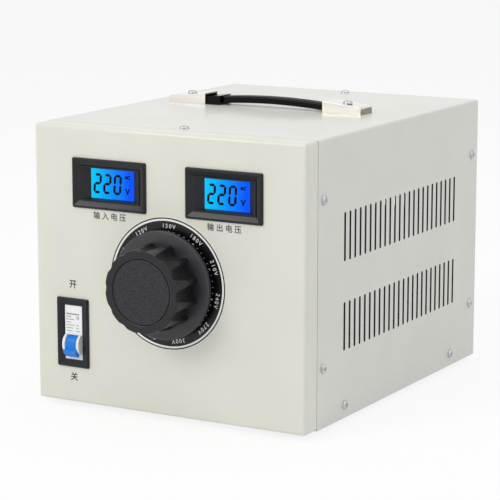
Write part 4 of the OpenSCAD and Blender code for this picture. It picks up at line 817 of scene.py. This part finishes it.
inlay = {"radius": 27.7, "thickness": 1.6, "edge": 0.35, "grain": 1.7, "height": 0.08}
inlayFront = box("knob_inlay")[0].y
profile = [(0, 0.0)] + [(inlay["radius"] * k / 60, 0.0) for k in range(1, 59)]
profile += [(inlay["radius"] - inlay["edge"], 0.0), (inlay["radius"] - 0.1, 0.1),
            (inlay["radius"], inlay["edge"]), (inlay["radius"], inlay["thickness"]), (0, inlay["thickness"])]
disc = lathe("knobInlay", profile, Vector((dialMiddle.x, inlayFront, dialMiddle.z)),
             materials["knob_grain"], 220)
for vert in disc.data.vertices:
    if vert.co.y < inlayFront + 0.05 * mm:  # press the grain into the face itself
        near = noise.voronoi(vert.co / (inlay["grain"] * mm))[0]
        vert.co.y += inlay["height"] * mm * (1 - min(1.0, (near[1] - near[0]) * 2.2))
handOver(disc, "rotor", "knob_grain", "knob_inlay")

skirt = {"radius": 47.0, "thickness": 5.0, "edge": 0.9, "fall": 1.1, "hub": 9.0, "web": 2.4, "wall": 2.0}
skirtLow, skirtHigh = box("knob_skirt")[:2]
deep = (skirtHigh.y - skirtLow.y) / mm
edge, radius, thick, fall = skirt["edge"], skirt["radius"], skirt["thickness"], skirt["fall"]
profile = [(0, 0.0), (20, 0.0), (knob["baseRadius"] - 1, 0.0), (radius - 4, fall * 0.35),
           (radius - edge, fall * 0.75)]
for k in range(1, 6):
    bend = math.pi / 2 * k / 5
    profile.append((radius - edge * (1 - math.sin(bend)), fall * 0.75 + edge * (1 - math.cos(bend))))
bore, web, hub = radius - skirt["wall"], skirt["web"], skirt["hub"]
profile += [(radius, thick - 0.3), (radius - 0.3, thick), (bore + 0.3, thick), (bore, thick - 0.3),
            (bore, web + 0.6), (bore - 0.6, web), (hub, web), (hub, deep), (0, deep)]
# the skirt is drawn in the lighter phenolic: painted sheen
skirtPiece = lathe("knobSkirt", profile, Vector((dialMiddle.x, skirtLow.y, dialMiddle.z)),
                   materials["skirtPaintedSheen"], 192)
handOver(skirtPiece, "rotor", "knob_phenolic", "knob_skirt")

# a white line along the flank near the front face, at the rest angle
flankLine = {"width": 1.5, "from": 0.6, "to": 12.5, "lift": 0.12}
turn = math.radians(knob["restAngle"])
outward = Vector((math.sin(turn), 0, math.cos(turn)))
across = Vector((math.cos(turn), 0, -math.sin(turn)))
verts = []
for k in range(9):
    y = flankLine["from"] + (flankLine["to"] - flankLine["from"]) * k / 8
    depth = knob["frontDepth"] + (knob["backDepth"] - knob["frontDepth"]) * y / length
    for side, lift in ((-1, -0.1), (-1, flankLine["lift"]), (1, flankLine["lift"]), (1, -0.1)):
        raised = outward * (knob["faceRadius"] - depth + lift) * mm
        verts.append(faceMiddle + Vector((0, y * mm, 0)) + raised + across * side * flankLine["width"] / 2 * mm)
handOver(newPiece("knobIndexLine", verts, gridFaces(9, 4, False), materials["whiteInk"]),
         "rotor", "knob_phenolic")
print("knob done")


# Breaker: mitred rim, white face with round cheeks, blue lever

rim = {"windowWidth": 18.8, "windowHeight": 48.8, "bottom": 5.5, "wall": 1.8, "ease": 0.16}
rimSteps = [(0.0, 0.0, 1.2), (0.0, -1.2, 1.2), (0.7, -2.3, 1.0), (1.3, -2.5, 0.7)]  # inset, y and corner
low, high, breakerMiddle = box("breaker_frame")
width, height = (high.x - low.x) / mm, (high.z - low.z) / mm
window = rim["windowWidth"], rim["windowHeight"]
loops = [(width - 2 * inset, height - 2 * inset, y, corner) for inset, y, corner in rimSteps]
loops += [(window[0] + extra, window[1] + extra, y, 0.2) for extra, y in
          ((1.4, -1.5), (0.9, -0.9), (0.0, -0.7), (0.0, rim["bottom"]), (2 * rim["wall"], rim["bottom"]),
           (2 * rim["wall"], 0.0))]
surround = frameLoft("breakerRim", loops, breakerMiddle.x, breakerMiddle.z, materials["black_abs"])
handOver(softEdges(surround, rim["ease"], 2, 20), "case", "black_abs", "breaker_frame")
eased("breaker_case", "case", "white_thermoset", 0.35, 3)

swing = [j for j in frame["joints"] if j["name"] == "toggle_swing"][0]
lever = {"drum": 8.6, "width": 11.0, "rootThick": 6.6, "tipThick": 6.4, "reach": 12.8, "angle": 42.0,
         "tipWidth": 13.5, "tipFrom": 10.25}
pivot = Vector(swing["pos_m"])


# side profile in mm: x to the rear, z up, about the pivot
lean = math.radians(lever["angle"])
along = Vector((-math.cos(lean), -math.sin(lean)))
over = Vector((-along.y, along.x))
start = math.degrees(math.atan2(along.y, along.x))
half = math.degrees(math.asin(lever["rootThick"] / 2 / lever["drum"]))
drumPart = []
for k in range(33):
    turn = math.radians(start + half + (360 - 2 * half) * k / 32)
    drumPart.append(Vector((math.cos(turn), math.sin(turn))) * lever["drum"])
halfTip = over * (lever["tipThick"] / 2)
neckLow, neckHigh = along * lever["tipFrom"] - halfTip * 1.15, along * lever["tipFrom"] + halfTip * 1.15
drumPart += [neckLow, neckHigh]
tipPart = [neckLow, along * lever["reach"] - halfTip, along * lever["reach"] + halfTip, neckHigh]
verts, faces = [], []
for outline, wide in ((drumPart, lever["width"]), (tipPart, lever["tipWidth"])):
    faces += prismFaces(len(verts), len(outline))
    for side in (-1, 1):
        verts += [(pivot.x + side * wide / 2 * mm, pivot.y + p.x * mm, pivot.z + p.y * mm) for p in outline]
toggle = newPiece("breakerLever", verts, faces, materials["blue_nylon"])
handOver(softEdges(toggle, 0.45, 3, 25), "toggle", "blue_nylon", "breaker_toggle")

marks = {"left": -7.4, "top": 17.0, "row": 2.55, "height": 0.75, "lift": 0.03, "sunk": 0.02,
         "rowLengths": (12.5, 4.6, 8.6, 4.4, 8.4, 7.2, 5.4)}
outlines = []
for k, long in enumerate(marks["rowLengths"]):  # rows of small unreadable strokes, as fine print is
    high = marks["height"] * (1.7 if k == 0 else 1.3 if k == 1 else 1.0)
    spans = [(0.0, long)] + ([(10.4, 13.4)] if k > 3 else [])
    for start, end in spans:
        x, step = start, 0
        while x < end - 0.3:
            wide = (0.55, 0.95, 0.4, 0.8)[(step + k) % 4] * (1.5 if k == 0 else 1.0)
            y = k * marks["row"] + (0.0, 0.12, 0.0, 0.2)[(step * 3 + k) % 4]
            outlines.append([(x, y), (x + wide, y), (x + wide, y + high * 0.9), (x, y + high * 0.9)])
            x, step = x + wide + 0.3, step + 1
for x0, y0, x1, y1 in ((10.6, 2.6, 13.0, 3.1), (10.6, 4.5, 13.0, 5.0), (10.6, 3.1, 11.1, 4.5),
                       (12.5, 3.1, 13.0, 4.5)):  # a small empty frame beside the rows
    outlines.append([(x0, y0), (x1, y0), (x1, y1), (x0, y1)])
corner = Vector((breakerMiddle.x + marks["left"] * mm, 0, breakerMiddle.z + marks["top"] * mm))
handOver(prisms("breakerMarks", outlines, corner, panelFront - marks["lift"] * mm,
                panelFront + marks["sunk"] * mm, materials["markInk"]), "case", "white_thermoset")
print("breaker done")


# Handle: plated caps, moulded shoulders and a ribbed strap with a fixed bow

handle = {"capEase": 0.35, "shoulderEase": 0.5, "longer": 4.6, "pocketWidth": 12.6, "pocketDepth": 9.8}
caps = eased("handle_caps", "case", "nickel", handle["capEase"], 3, 25)
caps.data.materials.append(materials["shearedEndAndShade"])
for polygon in caps.data.polygons:
    # faces across the handle get the darker end tone: dull cut metal and painted shade
    polygon.material_index = int(abs(polygon.normal.x) > 0.9)
anchor = eased("strap_anchor", "case", "black_pvc", handle["shoulderEase"], 3, 25)
shoulderFace = box("strap_anchor")[1].x
for vertex in anchor.data.vertices:
    if vertex.co.x > shoulderFace - 5 * mm:
        vertex.co.x += handle["longer"] * mm

strap = {"width": 12.0, "height": 6.4, "ribs": 3, "ribDepth": 1.3, "corner": 1.7, "stations": 90,
         "overlap": 11.0}
gripHigh, gripMiddle = box("strap_grip")[1:]
endsLow, endsHigh, endsMiddle = box("strap_ends")

# The strap's right end stays put while the slider moves in, so the slider's shoulder has a channel for it
sliderLow, sliderHigh, sliderMiddle = box("strap_slider")
half = handle["pocketWidth"] / 2 * mm
corners = [(x, sliderMiddle.y + y, z) for z in (endsLow.z - 0.3 * mm, sliderHigh.z + 2 * mm)
           for x, y in ((sliderLow.x - 2 * mm, -half), (sliderLow.x + handle["pocketDepth"] * mm, -half),
                        (sliderLow.x + handle["pocketDepth"] * mm, half), (sliderLow.x - 2 * mm, half))]
channel = newPiece("sliderChannel", corners, [(3, 2, 1, 0), (4, 5, 6, 7), (0, 1, 5, 4), (1, 2, 6, 5),
                                              (2, 3, 7, 6), (3, 0, 4, 7)], materials["black_pvc"])
eased("strap_slider", "slider", "black_pvc", handle["shoulderEase"], 3, 25, cutter=channel)


def strapSection():  # (across, up) in mm: flat base, round shoulders, ribs along the top
    half, high, corner = strap["width"] / 2, strap["height"], strap["corner"]

    def rounded(x, z, first):
        return [(x + corner * math.cos(math.radians(first + 15 * k)),
                 z + corner * math.sin(math.radians(first + 15 * k))) for k in range(7)]

    points = rounded(-half + corner, corner, 180) + rounded(half - corner, corner, 270)
    points += rounded(half - corner, high - corner, 0)
    count = 60
    for k in range(1, count):
        x = half - corner - (strap["width"] - 2 * corner) * k / count
        across = 0.94 * (2 * (strap["ribs"] * k / count % 1) - 1)
        points.append((x, high - strap["ribDepth"] * (1 - math.sqrt(1 - across * across))))
    return points + rounded(-half + corner, high - corner, 90)


def strapHalf(name, start, end):
    section, count, verts = strapSection(), strap["stations"], []
    half, rise = (endsHigh.x - endsLow.x) / 2, gripHigh.z - endsLow.z - strap["height"] * mm
    for k in range(count + 1):
        x = start + (end - start) * k / count
        base = endsLow.z + rise * (1 - ((x - endsMiddle.x) / half) ** 2)
        verts += [(x, gripMiddle.y + across * mm, base + up * mm) for across, up in section]
    return newPiece(name, verts, gridFaces(count + 1, len(section), False), materials["black_pvc"])


leftEnd = endsLow.x + (handle["longer"] - 0.25) * mm
left = strapHalf("strapLeftHalf", leftEnd, gripMiddle.x)
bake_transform(left)
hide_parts("strap_grip", "strap_band")
right = strapHalf("strapRightHalf", endsHigh.x, gripMiddle.x)
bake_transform(right)
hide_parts("strap_ends")
print("handle done")


# Behind the vents: separate turns of enamelled wire over the paper wrap

winding = {"turns": 220, "wire": 1.15, "corner": 5.0, "sides": 6}
coreLow, coreHigh, coreMiddle = box("core_wrap")


def turnCurve():
    # one closed loop round the ring's section, as (radius, y): straight sides with round corners
    inner, outer = wrapBore - winding["wire"] * mm, (coreHigh.x - coreLow.x) / 2 + winding["wire"] * mm
    front, back = coreLow.y - winding["wire"] * mm, coreHigh.y + winding["wire"] * mm
    corner = winding["corner"] * mm
    points = []
    for cx, cy, first in ((outer - corner, back - corner, 0), (inner + corner, back - corner, 90),
                          (inner + corner, front + corner, 180), (outer - corner, front + corner, 270)):
        for k in range(4):
            turn = math.radians(first + 30 * k)
            points.append((cx + corner * math.cos(turn), cy + corner * math.sin(turn)))
    return points


wrapMesh = frame["nodes"]["core_wrap"].data
wrapBore = min(math.hypot(v.co.x - coreMiddle.x, v.co.z - coreMiddle.z) for v in wrapMesh.vertices)
loop, r = turnCurve(), winding["wire"] / 2 * mm
verts, sides = [], winding["sides"]
for k, (radius, y) in enumerate(loop):
    ahead, behind = loop[(k + 1) % len(loop)], loop[k - 1]
    direction = Vector((ahead[0] - behind[0], ahead[1] - behind[1])).normalized()
    for j in range(sides):
        turn = 2 * math.pi * j / sides
        verts.append((radius + direction.y * r * math.cos(turn), y - direction.x * r * math.cos(turn),
                      r * math.sin(turn)))
oneTurn = newPiece("oneTurn", verts, gridFaces(len(loop), sides), materials["enamelled_copper"])


def turnTree(tree, entry):
    step = maths(tree, "DIVIDE", 2 * math.pi, entry.outputs["Turns"])
    number = put(tree, "GeometryNodeInputIndex").outputs[0]
    angle = maths(tree, "MULTIPLY", number, step)
    line = put(tree, "GeometryNodeMeshLine", {"Count": entry.outputs["Turns"], "Offset": (0.0, 0.0, 0.0),
                                              "Start Location": entry.outputs["Centre"]}).outputs[0]
    shape = put(tree, "GeometryNodeObjectInfo", {"Object": entry.outputs["Turn"]}).outputs["Geometry"]
    around = put(tree, "ShaderNodeCombineXYZ", {"Y": angle}).outputs[0]
    return put(tree, "GeometryNodeInstanceOnPoints", {"Points": line, "Instance": shape,
                                                      "Rotation": around}).outputs[0]


seedPoint = pointCloud("windingTurns", [(0, 0, 0)])
turns = grow("windingTurns", seedPoint, turnTree, {
    "Turns": winding["turns"], "Turn": oneTurn, "Centre": (dialMiddle.x, 0.0, dialMiddle.z),
    "Material": materials["enamelled_copper"]})
discard(oneTurn)
for polygon in turns.data.polygons:
    polygon.use_smooth = True
handOver(turns, "case", "enamelled_copper", "winding")
print("winding done:", len(turns.data.polygons), "faces")


# Brush spring: a coil of wire

coil = {"wire": 0.7, "turns": 6, "stepsPerTurn": 20, "sides": 8}
low, high, coilMiddle = box("brush_spring")
reach, r = (high.x - low.x - coil["wire"] * mm) / 2, coil["wire"] / 2 * mm
verts, steps, size = [], coil["turns"] * coil["stepsPerTurn"], coil["sides"]
for k in range(steps + 1):
    turn = 2 * math.pi * k / coil["stepsPerTurn"]
    out = Vector((math.cos(turn), 0, math.sin(turn)))
    along = low.y + r + (high.y - low.y - 2 * r) * k / steps
    for j in range(size):
        tilt = 2 * math.pi * j / size
        point = out * (reach + r * math.cos(tilt))
        verts.append((coilMiddle.x + point.x, along + r * math.sin(tilt), coilMiddle.z + point.z))
spring = newPiece("brushCoil", verts, gridFaces(steps + 1, size, False), materials["spring_steel"])
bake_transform(spring)
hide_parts("brush_spring")
print("brush spring done")


# Rear: terminals, gland and nuts with their edges eased

rearPieces = (("red_post_cap", "red_cap", "red_nylon", 0.25),
              ("black_post_cap", "black_cap", "black_post", 0.25),
              ("red_post_washer", "red_washer", "zinc_steel", 0.15),
              ("black_post_washer", "black_washer", "zinc_steel", 0.15),
              ("cable_gland", "case", "black_nylon", 0.5), ("rear_nuts", "case", "zinc_steel", 0.25),
              ("post_insulators", "case", "ivory_nylon", 0.3))
for node, body, slot, width in rearPieces:
    eased(node, body, slot, width, 2)
print("rear done")


# Floor, light and camera

studio = {"floor": "#FFFFFF", "floorWhite": 0.84, "world": 0.56}


def seenDirectly(tree):  # 1 for what the camera sees, straight, in a gloss or through glass
    path = put(tree, "ShaderNodeLightPath").outputs
    seen = maths(tree, "MAXIMUM", path["Is Camera Ray"], path["Is Glossy Ray"])
    return maths(tree, "MAXIMUM", seen, path["Is Transmission Ray"])


def stageMaterial():
    material = bpy.data.materials.new("paleFloor")
    material.use_nodes = True
    tree = material.node_tree
    tree.nodes.clear()
    shaded = put(tree, "ShaderNodeBsdfDiffuse", {"Color": linear(studio["floor"])})
    white = put(tree, "ShaderNodeEmission", {"Color": (1, 1, 1, 1), "Strength": 1.0})
    share = maths(tree, "MULTIPLY", seenDirectly(tree), studio["floorWhite"])
    mixed = put(tree, "ShaderNodeMixShader", {0: share, 1: shaded.outputs[0], 2: white.outputs[0]})
    put(tree, "ShaderNodeOutputMaterial", {"Surface": mixed.outputs[0]})
    return material


bpy.ops.mesh.primitive_plane_add(size=12)
floor = bpy.context.object
floor.name = "floor"
floor.data.materials.append(stageMaterial())

world = bpy.data.worlds.new("studio")
scene.world = world
world.use_nodes = True
tree = world.node_tree
tree.nodes.clear()
strength = put(tree, "ShaderNodeMapRange", {"Value": seenDirectly(tree), "To Min": studio["world"],
                                            "To Max": 1.0})
light = put(tree, "ShaderNodeBackground", {"Color": (1, 1, 1, 1), "Strength": strength.outputs[0]})
put(tree, "ShaderNodeOutputWorld", {"Surface": light.outputs[0]})

lamps = {
    "keyLight": {"place": (-1.1, -2.3, 1.7), "size": 1.1, "power": 27.0, "colour": "#FFFCF6"},
    "topLight": {"place": (0.2, 0.2, 2.0), "size": 1.8, "power": 10.5, "colour": "#FAFCFF"},
    "sideLight": {"place": (2.4, -0.2, 1.1), "size": 1.2, "power": 3.0, "colour": "#FFFFFF"},
}
for name, lamp in lamps.items():
    data = bpy.data.lights.new(name, "AREA")
    data.shape, data.size, data.energy = "SQUARE", lamp["size"], lamp["power"]
    data.color = linear(lamp["colour"])[:3]
    holder = bpy.data.objects.new(name, data)
    holder.location = lamp["place"]
    holder.rotation_euler = (Vector((0, 0, 0.12)) - holder.location).to_track_quat("-Z", "Y").to_euler()
    scene.collection.objects.link(holder)

camera = bpy.data.objects.new("camera", bpy.data.cameras.new("camera"))
camera.data.sensor_width, camera.data.lens = 36, 157.36
camera.location = (0.9600, -1.6993, 0.4986)
camera.rotation_euler = [math.radians(a) for a in (79.122, 0.0, 29.712)]
scene.collection.objects.link(camera)
scene.camera = camera
scene.view_settings.view_transform = "Standard"
print("stage set")
